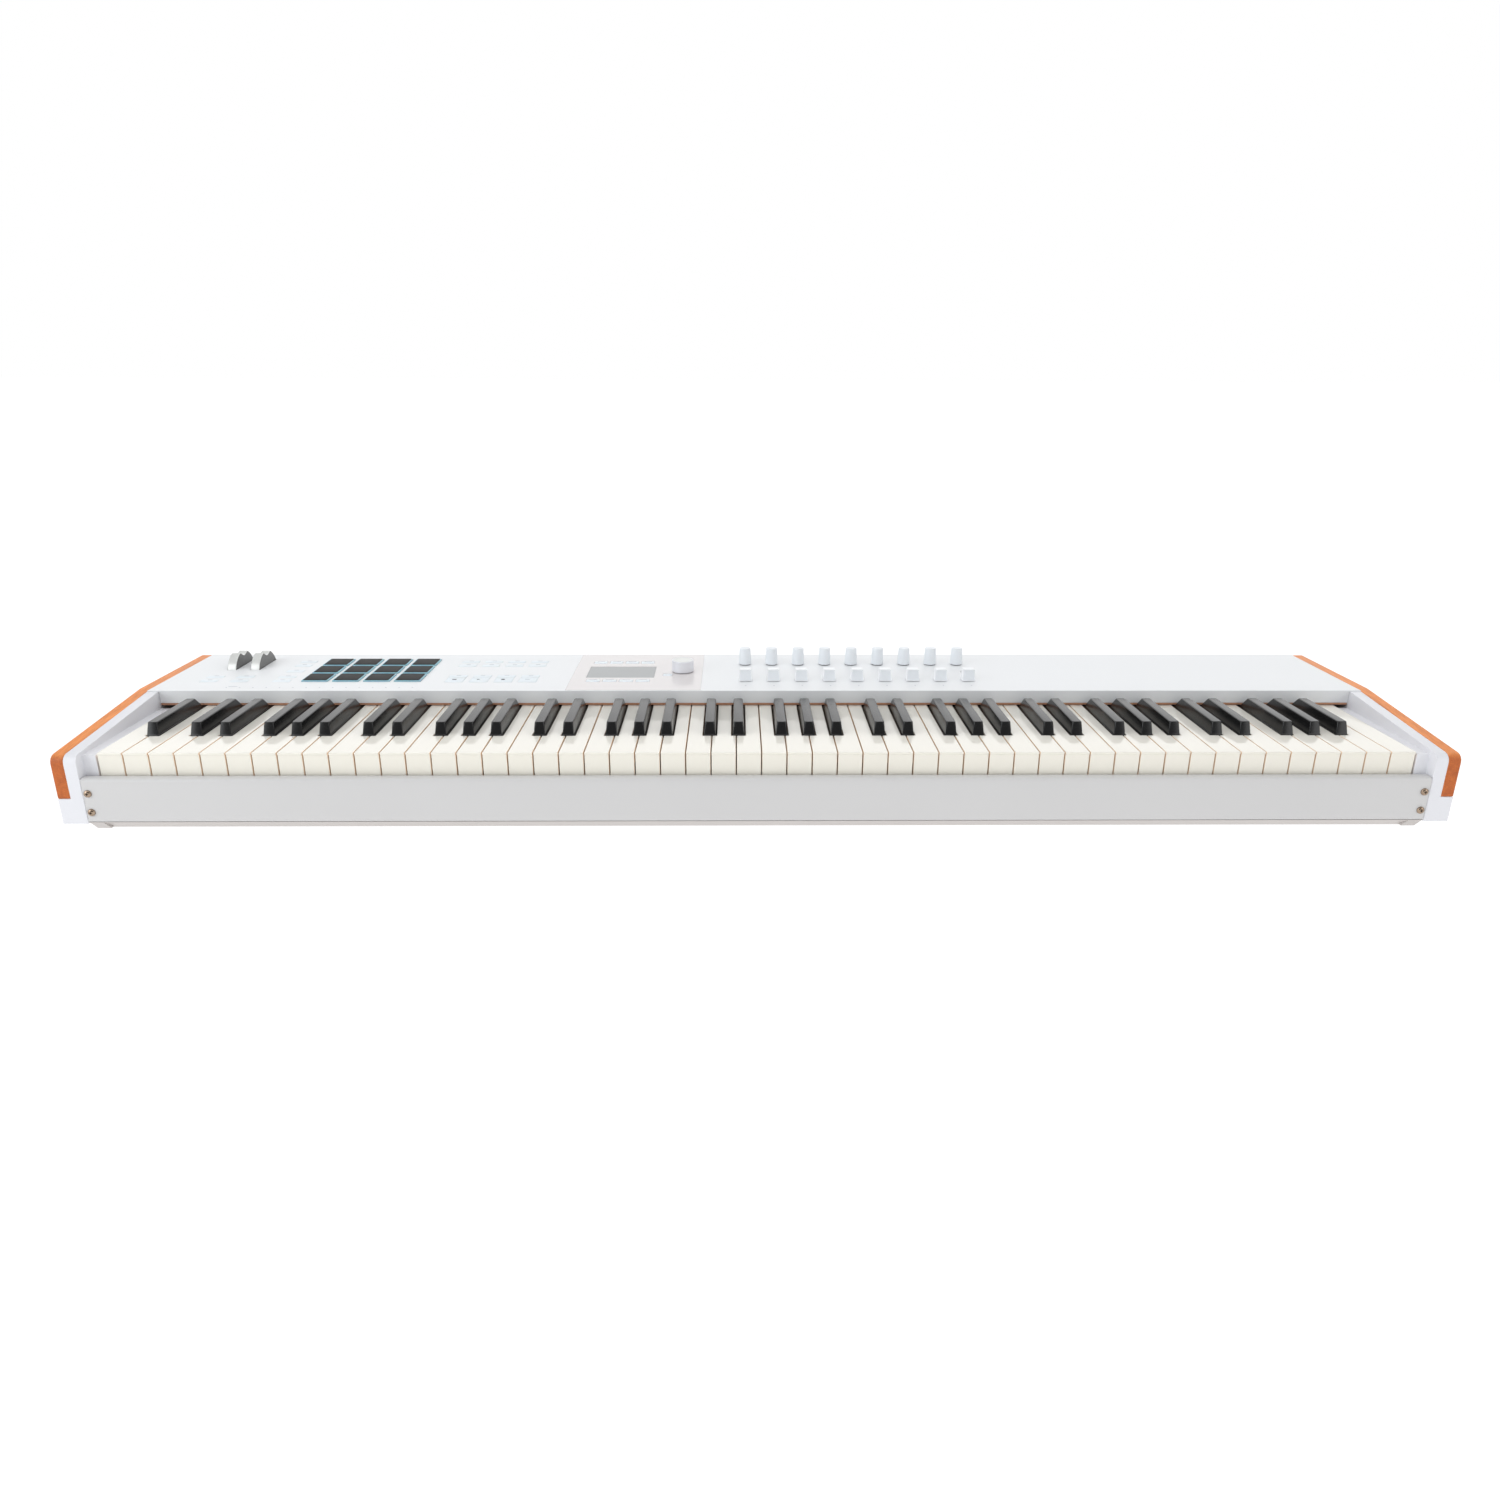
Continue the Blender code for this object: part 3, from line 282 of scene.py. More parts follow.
def pad_edge():
    return surface("pad_edge", (0.22, 0.42, 0.50), (0.30, 0.50, 0.58), 180, 0.35, 0.08, 2000, 0.2,
                   Subsurface_Weight=0.3)


# Metal darkened and browned: painted dark, warm reflection on the screw heads and socket pins.
def painted_reflection_chrome():
    return surface("screw_chrome", (0.22, 0.15, 0.10), (0.50, 0.39, 0.30), 260, 0.14, 0.05, 1500, 0.08,
                   Metallic=1.0)


# Near-black finish put where shade falls: painted shade under the knobs and in the screws' cross recesses.
def painted_recess_shade():
    return surface("painted_recess_shade", (0.015, 0.014, 0.013), (0.03, 0.028, 0.026), 500, 0.5, 0.1, 3000, 0.3)


def rubber():
    return surface("rubber", (0.02, 0.02, 0.02), (0.035, 0.035, 0.035), 200, 0.8, 0.08, 1800, 0.8)


def galvanised():
    return surface("galvanised", (0.38, 0.39, 0.40), (0.55, 0.56, 0.57), 35, 0.38, 0.12, 900, 0.2,
                   Metallic=0.9)


def board_green():
    return surface("board_green", (0.012, 0.075, 0.035), (0.02, 0.11, 0.05), 220, 0.4, 0.08, 1500, 0.6)


def tread_silver():
    return surface("tread_silver", (0.70, 0.71, 0.69), (0.78, 0.79, 0.77), 150, 0.32, 0.06, 1500, 0.1,
                   Metallic=0.35)


# Dark copy for the wheels' flat sides: painted shade, as the sides face away from the light.
def wheel_flank_painted_shade():
    return surface("wheel_flank_painted_shade", (0.09, 0.09, 0.088), (0.15, 0.15, 0.145), 70, 0.22, 0.06, 900, 0.05)


def dial_silver():
    return surface("dial_silver", (0.62, 0.63, 0.615), (0.68, 0.69, 0.675), 90, 0.30, 0.05, 900, 0.04,
                   Metallic=0.7)


def ink_grey():
    return surface("ink_grey", (0.40, 0.42, 0.47), (0.47, 0.49, 0.54), 400, 0.6, 0.05, 300, 0.02)


def ink_dark():
    return surface("ink_dark", (0.05, 0.05, 0.06), (0.09, 0.09, 0.10), 400, 0.6, 0.05, 300, 0.02)


def screen_glass():
    return surface("screen_glass", (0.26, 0.272, 0.278), (0.285, 0.30, 0.305), 30, 0.08, 0.02, 600, 0.02)


def socket_black():
    return surface("socket_black", (0.02, 0.02, 0.02), (0.03, 0.03, 0.03), 300, 0.45, 0.08, 2500, 0.4)


def stained_wood():
    """Stained hardwood: grain along the panel, darker on the end grain at its front."""
    if "wood" in MATERIALS:
        return MATERIALS["wood"]
    made = bpy.data.materials.new("stained_wood")
    made.use_nodes = True
    nodes, links = made.node_tree.nodes, made.node_tree.links
    shader = nodes["Principled BSDF"]
    coords = nodes.new("ShaderNodeTexCoord")
    mapping = nodes.new("ShaderNodeMapping")
    mapping.inputs["Scale"].default_value = (55, 2.4, 55)
    links.new(coords.outputs["Object"], mapping.inputs["Vector"])
    rings = nodes.new("ShaderNodeTexNoise")
    rings.inputs["Scale"].default_value = 2.2
    rings.inputs["Detail"].default_value = 7
    rings.inputs["Distortion"].default_value = 0.8
    links.new(mapping.outputs["Vector"], rings.inputs["Vector"])
    ramp = nodes.new("ShaderNodeValToRGB")
    ramp.color_ramp.elements[0].position = 0.28
    ramp.color_ramp.elements[0].color = (0.68, 0.205, 0.045, 1)
    ramp.color_ramp.elements[1].position = 0.74
    ramp.color_ramp.elements[1].color = (0.92, 0.335, 0.10, 1)
    links.new(rings.outputs["Fac"], ramp.inputs["Fac"])
    pores = nodes.new("ShaderNodeTexNoise")
    pores.inputs["Scale"].default_value = 14
    pores.inputs["Detail"].default_value = 3
    links.new(mapping.outputs["Vector"], pores.inputs["Vector"])
    speck = nodes.new("ShaderNodeMapRange")
    speck.inputs["From Min"].default_value = 0.35
    speck.inputs["From Max"].default_value = 0.65
    speck.inputs["To Min"].default_value = 0.86
    speck.inputs["To Max"].default_value = 1.06
    links.new(pores.outputs["Fac"], speck.inputs["Value"])
    pored = nodes.new("ShaderNodeVectorMath")
    pored.operation = "SCALE"
    links.new(ramp.outputs["Color"], pored.inputs[0])
    links.new(speck.outputs["Result"], pored.inputs["Scale"])
    facing = nodes.new("ShaderNodeSeparateXYZ")
    links.new(coords.outputs["Normal"], facing.inputs["Vector"])
    end_grain = nodes.new("ShaderNodeMapRange")
    end_grain.inputs["From Min"].default_value = -0.35
    end_grain.inputs["From Max"].default_value = -0.95
    links.new(facing.outputs["Y"], end_grain.inputs["Value"])
    mix = nodes.new("ShaderNodeMix")
    mix.data_type = "RGBA"
    mix.blend_type = "MULTIPLY"
    mix.inputs["B"].default_value = (0.64, 0.43, 0.18, 1)
    links.new(end_grain.outputs["Result"], mix.inputs["Factor"])
    links.new(pored.outputs["Vector"], mix.inputs["A"])
    links.new(mix.outputs["Result"], shader.inputs["Base Color"])
    rough = nodes.new("ShaderNodeMapRange")
    rough.inputs["To Min"].default_value = 0.42
    rough.inputs["To Max"].default_value = 0.60
    links.new(rings.outputs["Fac"], rough.inputs["Value"])
    links.new(rough.outputs["Result"], shader.inputs["Roughness"])
    bump = nodes.new("ShaderNodeBump")
    bump.inputs["Strength"].default_value = 0.35
    bump.inputs["Distance"].default_value = 0.1 * MM
    links.new(pores.outputs["Fac"], bump.inputs["Height"])
    links.new(bump.outputs["Normal"], shader.inputs["Normal"])
    MATERIALS["wood"] = made
    return made


# ---------------------------------------------------------------- mesh helpers

def loft(bm, rings):
    """Closed body through rings of equally many points, with a cap on the first and last."""
    loops = [[bm.verts.new(point) for point in ring] for ring in rings]
    count = len(loops[0])
    faces = [bm.faces.new(loops[0]), bm.faces.new(loops[-1])]
    for lower, upper in zip(loops, loops[1:]):
        for i in range(count):
            j = (i + 1) % count
            faces.append(bm.faces.new((lower[i], lower[j], upper[j], upper[i])))
    return faces


def rectangle(x_span, y_span, z):
    (x0, x1), (y0, y1) = x_span, y_span
    return [(x0, y0, z), (x1, y0, z), (x1, y1, z), (x0, y1, z)]


def box(bm, x_span, y_span, z_span):
    loft(bm, [rectangle(x_span, y_span, z) for z in z_span])


def arc(centre, radius, start, end, steps):
    """Points of a circular arc; angles in degrees."""
    points = []
    for i in range(steps + 1):
        angle = math.radians(start + (end - start) * i / steps)
        points.append((centre[0] + radius * math.cos(angle), centre[1] + radius * math.sin(angle)))
    return points


def circle(radius, segments):
    """Points of a circle round the origin."""
    step = 2 * math.pi / segments
    return [(radius * math.cos(i * step), radius * math.sin(i * step)) for i in range(segments)]


def rounded_rectangle(x_span, y_span, radius, z, steps=5):
    """Rectangle at a height z with rounded corners, as (x, y, z) points."""
    (x0, x1), (y0, y1) = x_span, y_span
    flat = arc((x1 - radius, y1 - radius), radius, 0, 90, steps)
    flat += arc((x0 + radius, y1 - radius), radius, 90, 180, steps)
    flat += arc((x0 + radius, y0 + radius), radius, 180, 270, steps)
    flat += arc((x1 - radius, y0 + radius), radius, 270, 360, steps)
    return [(x, y, z) for x, y in flat]


def shrunk(span, margin):
    """The span made shorter by a margin at each end."""
    return (span[0] + margin, span[1] - margin)


def around(middle, half):
    """The span that reaches half to each side of its middle."""
    return (middle - half, middle + half)


def soft_block(bm, x_span, y_span, z_span, corner, edge, steps=3):
    """Block with round corners in plan and a rounded upper edge."""
    low, high = z_span
    rings = [rounded_rectangle(x_span, y_span, corner, low)]
    for i in range(steps + 1):
        angle = math.pi / 2 * i / steps
        inset = edge * (1 - math.cos(angle))
        z = high - edge + edge * math.sin(angle)
        size_x, size_y = shrunk(x_span, inset), shrunk(y_span, inset)
        rings.append(rounded_rectangle(size_x, size_y, max(corner - inset, 0.05 * MM), z))
    loft(bm, rings)


def turned(bm, centre, profile, segments):
    """Body turned about the vertical through centre, from (radius, z) pairs."""
    rings = []
    for radius, z in profile:
        rings.append([(centre[0] + u, centre[1] + v, z) for u, v in circle(radius, segments)])
    loft(bm, rings)


def turned_y(bm, x, z, profile, segments):
    """Body turned about a line along y, from (radius, y) pairs."""
    loft(bm, [[(x + u, y, z + v) for u, v in circle(radius, segments)] for radius, y in profile])


def as_object(name, bm, skins, sharp_degrees=40):
    """Object from a bmesh, which is freed, with its materials and its sharp edges marked."""
    bmesh.ops.recalc_face_normals(bm, faces=bm.faces)
    mesh = bpy.data.meshes.new(name)
    bm.to_mesh(mesh)
    bm.free()
    for skin in skins:
        mesh.materials.append(skin)
    mesh.shade_smooth()
    mesh.set_sharp_from_angle(angle=math.radians(sharp_degrees))
    made = bpy.data.objects.new(name, mesh)
    bpy.context.scene.collection.objects.link(made)
    return made


def place(piece, body, slot_name, *nodes):
    """The piece rides on a body and stands for CAD nodes; its slot name is not used."""
    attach(piece, body)
    if nodes:
        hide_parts(*nodes)


def bevel(piece, width, segments, angle):
    """Round the edges that turn by more than an angle in degrees."""
    modifier = piece.modifiers.new("edges", "BEVEL")
    modifier.width = width
    modifier.segments = segments
    modifier.limit_method = "ANGLE"
    modifier.angle_limit = math.radians(angle)


def combine(target, tool_bm, operation):
    """Apply an exact Boolean with the bodies in tool_bm."""
    tool = as_object("tool", tool_bm, [])
    modifier = target.modifiers.new("combine", "BOOLEAN")
    modifier.operation = operation
    modifier.object = tool
    bpy.context.view_layer.update()
    graph = bpy.context.evaluated_depsgraph_get()
    mesh = bpy.data.meshes.new_from_object(target.evaluated_get(graph))
    target.modifiers.clear()
    target.data = mesh
    bpy.data.objects.remove(tool, do_unlink=True)


def plain_copy(node, skin, slot_name):
    """The CAD mesh itself as a piece, for flat plates whose edges are sharp."""
    made = bpy.data.objects.new(node + "_piece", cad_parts[node].data.copy())
    made.data.materials.clear()
    made.data.materials.append(skin)
    bpy.context.scene.collection.objects.link(made)
    place(made, CASE, slot_name, node)


def refined(node, skins, edge, slot_name="white_sheet", rule=None, segments=3, skin_of=None):
    """Copy of a CAD node with its flat faces whole again and its edges rounded.

    rule(midpoint) may return the edge radius at an edge, or None for the usual one;
    skin_of(centre) tells which of the skins a face takes."""
    bm = bmesh.new()
    bm.from_mesh(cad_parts[node].data)
    bmesh.ops.remove_doubles(bm, verts=bm.verts, dist=0.001 * MM)
    bmesh.ops.dissolve_limit(bm, angle_limit=math.radians(0.3), verts=bm.verts, edges=bm.edges)
    weights = bm.edges.layers.float.new("bevel_weight_edge")
    largest = edge
    radii = {}
    for item in bm.edges:
        if len(item.link_faces) != 2 or item.calc_face_angle() < math.radians(28):
            continue
        a, b = item.verts[0].co, item.verts[1].co
        radius = rule((a + b) / 2) if rule else None
        radii[item] = edge if radius is None else radius
        largest = max(largest, radii[item])
    for item, radius in radii.items():
        item[weights] = radius / largest
    for face in bm.faces:
        face.material_index = skin_of(face.calc_center_median()) if skin_of else 0
    made = as_object(node + "_piece", bm, skins)
    modifier = made.modifiers.new("edges", "BEVEL")
    modifier.limit_method = "WEIGHT"
    modifier.width = largest
    modifier.segments = segments
    place(made, CASE, slot_name, node)


# ---------------------------------------------------------------- keys

def is_black(note):
    return note % 12 in BLACK_CLASSES


def middle_key(note):
    """The CAD key of the middle octave with this note's name, and the shift to the note."""
    name = "key_" + NOTE_NAMES[note % 12] + "4"
    return name, (note // 12 - MIDDLE_OCTAVE[0] // 12) * OCTAVE


def key_body(note):
    """The moving body that a key belongs to: its own in the middle octave, else a bank's."""
    if note in MIDDLE_OCTAVE:
        return middle_key(note)[0]
    colour = "black" if is_black(note) else "white"
    side = "bass" if note < MIDDLE_OCTAVE[0] else "treble"
    return colour + "_keys_" + side


def black_span(note):
    """The x span of a black key's foot."""
    name, shift = middle_key(note)
    low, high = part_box(name)
    return low.x + shift, high.x + shift


KEY_DEPTH = 13.4 * MM
SKIRT_DEPTH = C4_HIGH.z - C4_LOW.z
SKIRT_THICK = 5.5 * MM
LIP = 0.7 * MM
LIP_THICK = 2.0 * MM
TAIL_CLEARANCE = 1.0 * MM
HOLLOW_WALL = 1.8 * MM
HOLLOW_FRONT = 8 * MM                # from the key's front
HOLLOW_BACK = 20 * MM                # from its back end
HOLLOW_ROOF = 2.5 * MM               # material left above the hollow
WHITE_MESHES = {}


def white_profile(length):
    """Side view of a white key from its front, with the small rounded lip over the front face."""
    round_top = 1.1 * MM
    outline = [(LIP, -SKIRT_DEPTH), (LIP, -LIP_THICK - 0.3 * MM), (0.15 * MM, -LIP_THICK)]
    outline += arc((round_top, -round_top), round_top, 180, 90, 5)
    outline += [(length, 0), (length, -KEY_DEPTH)]
    outline += [(LIP + SKIRT_THICK, -KEY_DEPTH), (LIP + SKIRT_THICK, -SKIRT_DEPTH)]
    return outline


def white_mesh(note):
    """Mesh of a white key, with its left front edge at the origin; keys of one shape share it."""
    name, shift = middle_key(note)
    low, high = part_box(name)
    left = low.x + shift
    before = note > FIRST_NOTE and is_black(note - 1)
    after = note < LAST_NOTE and is_black(note + 1)
    shape = (note % 12, before, after)
    if shape in WHITE_MESHES:
        return WHITE_MESHES[shape], left
    length = high.y - low.y
    notch_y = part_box("key_cs4")[0].y - low.y - TAIL_CLEARANCE
    bm = bmesh.new()
    loft(bm, [[(x, y, z) for y, z in white_profile(length)] for x in (0, KEY_WIDTH)])
    key = as_object("white_key_shape", bm, [ivory(), ivory_painted_shade(), key_flank_painted_gap_shade()])
    cuts = bmesh.new()
    tail_left = black_span(note - 1)[1] + TAIL_CLEARANCE - left if before else 0
    tail_right = black_span(note + 1)[0] - TAIL_CLEARANCE - left if after else KEY_WIDTH
    tall = (-SKIRT_DEPTH - MM, MM)
    reach = (notch_y, length + MM)
    if before:
        box(cuts, (-MM, tail_left), reach, tall)
    if after:
        box(cuts, (tail_right, KEY_WIDTH + MM), reach, tall)
    hollow = (tail_left + HOLLOW_WALL, tail_right - HOLLOW_WALL)
    box(cuts, hollow, (HOLLOW_FRONT, length - HOLLOW_BACK), (-KEY_DEPTH - MM, -HOLLOW_ROOF))
    combine(key, cuts, "DIFFERENCE")
    mesh = key.data
    bpy.data.objects.remove(key, do_unlink=True)
    # Tops take the ivory; the sides take a tan copy as painted shade in the gaps, and all other faces a
    # darker copy as painted shade.
    for face in mesh.polygons:
        beside = abs(face.normal.x) > 0.7
        face.material_index = 2 if beside else 0 if face.normal.z > 0.5 else 1
    mesh.shade_smooth()
    mesh.set_sharp_from_angle(angle=math.radians(40))
    WHITE_MESHES[shape] = mesh
    return mesh, left


BLACK_TOP_WIDTH = 9.2 * MM
BLACK_TOP_Y = (3.5 * MM, 82 * MM)
BLACK_CAP_END = 94.5 * MM
BLACK_FLARE = 0.45 * MM              # how far the sides draw in just above the foot
BLACK_FRONT_FLARE = 0.3 * MM
BLACK_FLARE_SHARE = 0.06             # share of the height over which they do


def black_ring(share, inset_x, inset_y, z):
    """Plan outline of a black key's cap at a share of its height, inset by its edges' rounding."""
    low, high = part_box("key_cs4")
    width = high.x - low.x
    flared = min(share / BLACK_FLARE_SHARE, 1)
    side = BLACK_FLARE * flared + share * ((width - BLACK_TOP_WIDTH) / 2 - BLACK_FLARE) + inset_x
    front = BLACK_FRONT_FLARE * flared + share * (BLACK_TOP_Y[0] - BLACK_FRONT_FLARE) + inset_y
    back = BLACK_CAP_END + share * (BLACK_TOP_Y[1] - BLACK_CAP_END) - inset_y
    corner = (0.5 + 1.5 * share ** 2) * MM
    return rounded_rectangle((side, width - side), (front, back), corner - inset_x / 3, z)


def black_mesh():
    """Cap of a black key on its lever; the origin is at its left front top."""
    low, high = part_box("key_cs4")
    width, length = high.x - low.x, high.y - low.y
    height = high.z - KEY_TOP_Z
    foot = -0.5 * MM
    edge_x, edge_y, edge_z = 0.8 * MM, 0.6 * MM, 0.9 * MM
    body = height - edge_z
    rings = [black_ring(0, 0, 0, foot)]
    for share in (0.0, 0.03, 0.06, 0.12, 0.18, 0.25, 0.4, 0.6, 0.8, 1.0):
        rings.append(black_ring(share * body / height, 0, 0, share * body))
    for i in range(1, 9):
        angle = math.pi / 2 * i / 8
        z = body + edge_z * math.sin(angle)
        turn = 1 - math.cos(angle)
        rings.append(black_ring(z / height, edge_x * turn, edge_y * turn ** 2, z))
    bm = bmesh.new()
    loft(bm, rings)
    box(bm, (0, width), (0, length), (-KEY_DEPTH, foot))
    bmesh.ops.recalc_face_normals(bm, faces=bm.faces)
    mesh = bpy.data.meshes.new("black_key_shape")
    bm.to_mesh(mesh)
    bm.free()
    mesh.materials.append(ebony())
    mesh.shade_smooth()
    mesh.set_sharp_from_angle(angle=math.radians(50))
    return mesh, low.y


def make_keys():
    """All 88 keys on their bodies; the first key on each body stands for its CAD node."""
    replaced = set()
    black, black_front_y = black_mesh()
    for note in range(FIRST_NOTE, LAST_NOTE + 1):
        body = key_body(note)
        if is_black(note):
            piece = bpy.data.objects.new("black_key_%d" % note, black)
            piece.location = (black_span(note)[0], black_front_y, KEY_TOP_Z)
            slot_name = "black_keys"
        else:
            mesh, left = white_mesh(note)
            piece = bpy.data.objects.new("white_key_%d" % note, mesh)
            piece.location = (left, KEY_FRONT_Y, KEY_TOP_Z)
            slot_name = "white_keys"
            bevel(piece, 0.6 * MM, 3, 60)
        bpy.context.scene.collection.objects.link(piece)
        place(piece, body, slot_name)
        if body not in replaced:
            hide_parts(body)
            replaced.add(body)


# ---------------------------------------------------------------- panel controls

def top_patches(node):
    """The x and y spans of each separate flat area at the top of a node, in reading order."""
    bm = bmesh.new()
    bm.from_mesh(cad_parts[node].data)
    bmesh.ops.remove_doubles(bm, verts=bm.verts, dist=0.001 * MM)
    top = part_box(node)[1].z
    waiting = {f for f in bm.faces if all(abs(v.co.z - top) < 0.01 * MM for v in f.verts)}
    patches = []
    while waiting:
        group = [waiting.pop()]
        for face in group:
            near = {n for e in face.edges for n in e.link_faces if n in waiting}
            waiting -= near
            group.extend(near)
        xs = [v.co.x for f in group for v in f.verts]
        ys = [v.co.y for f in group for v in f.verts]
        patches.append(((min(xs), max(xs)), (min(ys), max(ys))))
    bm.free()
    return sorted(patches, key=lambda p: (round(p[1][0], 4), round(p[0][0], 4)))


DEEP_CAP = 12 * MM                   # the transport caps are deeper than this, the others aren't
CAP_FOOT = 1.2 * MM                  # height of the caps' lower faces above the mat's underside
CAP_RIM = 0.24 * MM


def is_deep(cap):
    """Whether a cap, given by its x and y spans, is one of the transport caps."""
    return cap[1][1] - cap[1][0] > DEEP_CAP


def mark_levels(z):
    """Lower and upper level of a printed mark on a surface at z."""
    return (z - 0.1 * MM, z + 0.05 * MM)


def mark(bm, x_span, y_span, z):
    """Thin printed mark lying on a surface at z."""
    loft(bm, [rounded_rectangle(x_span, y_span, 0.3 * MM, level, 2) for level in mark_levels(z)])


def sheet_piece(node, caps, slot_name, skin):
    """The hidden silicone sheet that joins a group of caps at the bottom of their node."""
    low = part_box(node)[0]
    bm = bmesh.new()
    xs = [x for span in caps for x in span[0]]
    ys = [y for span in caps for y in span[1]]
    thick = 1.0 * MM
    margin = 2 * MM
    soft_block(bm, (min(xs) - margin, max(xs) + margin), (min(ys) - margin, max(ys) + margin),
               (low.z, low.z + thick), 2 * MM, 0.2 * MM)
    sheet = as_object(node + "_sheet", bm, [skin])
    place(sheet, node, slot_name)
    return sheet


def strips(caps, node):
    """Groups the caps of a node into sheets that don't cross other controls."""
    if node != "button_mat_left":
        return [caps]
    low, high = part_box("pad_mat")
    left = [c for c in caps if c[0][1] < low.x]
    right = [c for c in caps if c[0][0] > high.x]
    outer = [c for c in left if c[0][0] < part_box("mod_wheel")[1].x]
    return [outer, [c for c in left if c not in outer], right]


def make_buttons():
    """Flush caps with a printed dash near the back edge of each shallow one."""
    for node in ("button_mat_left", "button_mat_display"):
        caps = top_patches(node)
        low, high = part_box(node)
        foot = low.z + CAP_FOOT
        for number, (x_span, y_span) in enumerate(caps, 1):
            bm = bmesh.new()
            soft_block(bm, x_span, y_span, (foot, high.z), 1.0 * MM, 0.3 * MM)
            box(bm, shrunk(x_span, -CAP_RIM), shrunk(y_span, -CAP_RIM), (foot, PANEL_TOP - 0.35 * MM))
            cap = as_object("%s_cap_%d" % (node, number), bm, [cap_white()])
            place(cap, node, "white_plastic")
        marks = bmesh.new()
        half = (4.4 if node == "button_mat_display" else 2.5) * MM
        for x_span, y_span in caps:
            if not is_deep((x_span, y_span)):
                back = y_span[1] - 0.9 * MM
                mark(marks, around(sum(x_span) / 2, half), (back - 1.1 * MM, back), high.z)
        legends = as_object(node + "_legends", marks, [ink_grey()])
        place(legends, node, "white_plastic")
        for number, group in enumerate(strips(caps, node), 1):
            sheet = sheet_piece(node, group, "white_plastic", cap_white())
            sheet.name = "%s_sheet_%d" % (node, number)
            if number == 1:
                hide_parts(node)
    make_transport_icons()


def make_transport_icons():
    """Stop, play and record symbols, and a dash, on the four deep caps."""
    deep = [cap for cap in top_patches("button_mat_left") if is_deep(cap)]
    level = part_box("button_mat_left")[1].z
    left, up = 1.0 * MM, 10 * MM         # of each cap's middle, and from its front edge
    centres = [(sum(x_span) / 2 - left, y_span[0] + up) for x_span, y_span in deep]
    stop, play, record, tap = centres
    marks = bmesh.new()
    mark(marks, around(stop[0], 2.2 * MM), around(stop[1], 1.5 * MM), level)
    triangle = [(-1.7 * MM, -1.6 * MM), (1.9 * MM, 0), (-1.7 * MM, 1.6 * MM)]
    for (centre_x, centre_y), outline in ((play, triangle), (record, circle(2.2 * MM, 32))):
        loft(marks, [[(centre_x + x, centre_y + y, z) for x, y in outline] for z in mark_levels(level)])
    icons = as_object("transport_icons", marks, [ink_dark()])
    place(icons, "button_mat_left", "white_plastic")
    dash = bmesh.new()
    mark(dash, around(tap[0], 2.4 * MM), around(tap[1], 0.6 * MM), level)
    tap_dash = as_object("tap_dash", dash, [ink_grey()])
    place(tap_dash, "button_mat_left", "white_plastic")


def make_pads():
    """Twelve pads, each a dark top on a bluish edge, over one hidden sheet."""
    pads = top_patches("pad_mat")
    low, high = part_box("pad_mat")
    for number, (x_span, y_span) in enumerate(pads, 1):
        rim = bmesh.new()
        soft_block(rim, x_span, y_span, (low.z + 1.0 * MM, high.z - 0.5 * MM), 1.4 * MM, 0.6 * MM)
        edge = as_object("pad_edge_%d" % number, rim, [pad_edge()])
        place(edge, "pad_mat", "pad_silicone")
        inner = bmesh.new()
        inset = 1.5 * MM
        soft_block(inner, shrunk(x_span, inset), shrunk(y_span, inset), (high.z - 0.7 * MM, high.z),
                   1.2 * MM, 0.4 * MM)
        top = as_object("pad_top_%d" % number, inner, [pad_charcoal()])
        place(top, "pad_mat", "pad_silicone")
    sheet = sheet_piece("pad_mat", pads, "pad_silicone", pad_charcoal())
    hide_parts("pad_mat")


def turned_piece(name, centre, profile, skins, segments=72):
    """Object turned about the vertical through centre, from (radius, z) pairs."""
    bm = bmesh.new()
    turned(bm, centre, profile, segments)
    return as_object(name, bm, skins)


def node_centre(node):
    """Middle of a node's box."""
    low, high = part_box(node)
    return (low + high) / 2


def corner_arc(radius, top, edge, steps=5):
    """(radius, z) points of a rounded upper edge."""
    return arc((radius - edge, top - edge), edge, 0, 90, steps)


CONTROL_SHAFT = 2.9 * MM             # radius under the knobs and the dial
CONTROL_GAP = 0.75 * MM              # from the panel to their skirts


def make_knobs():
    """Slightly tapered encoder knobs, each over a dark ring that is painted shade under its skirt."""
    for number in range(1, 10):
        node = "knob_%d" % number
        low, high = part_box(node)
        middle = node_centre(node)
        base_radius = (high.x - low.x) / 2
        top_radius = base_radius * 0.88
        base = PANEL_TOP + CONTROL_GAP
        profile = [(CONTROL_SHAFT, low.z), (CONTROL_SHAFT, base), (base_radius - 0.5 * MM, base)]
        profile += [(base_radius, base + 0.4 * MM), (base_radius, base + 1.3 * MM)]
        profile += corner_arc(top_radius, high.z, 1.3 * MM)
        profile += [(top_radius * 0.4, high.z - 0.02 * MM)]
        knob = turned_piece(node + "_body", middle, profile, [knob_plastic()])
        place(knob, node, "white_plastic", node)
        # Dark ring on the panel under the skirt: painted shade.
        wide, top = base_radius - 0.9 * MM, base - 0.05 * MM
        shade_ring = [(base_radius - 1.6 * MM, PANEL_TOP + 0.12 * MM), (wide, PANEL_TOP + 0.2 * MM),
                  (wide, top), (3.2 * MM, top)]
        ring = turned_piece(node + "_collar", middle, shade_ring, [painted_recess_shade()])
        place(ring, node, "white_plastic")


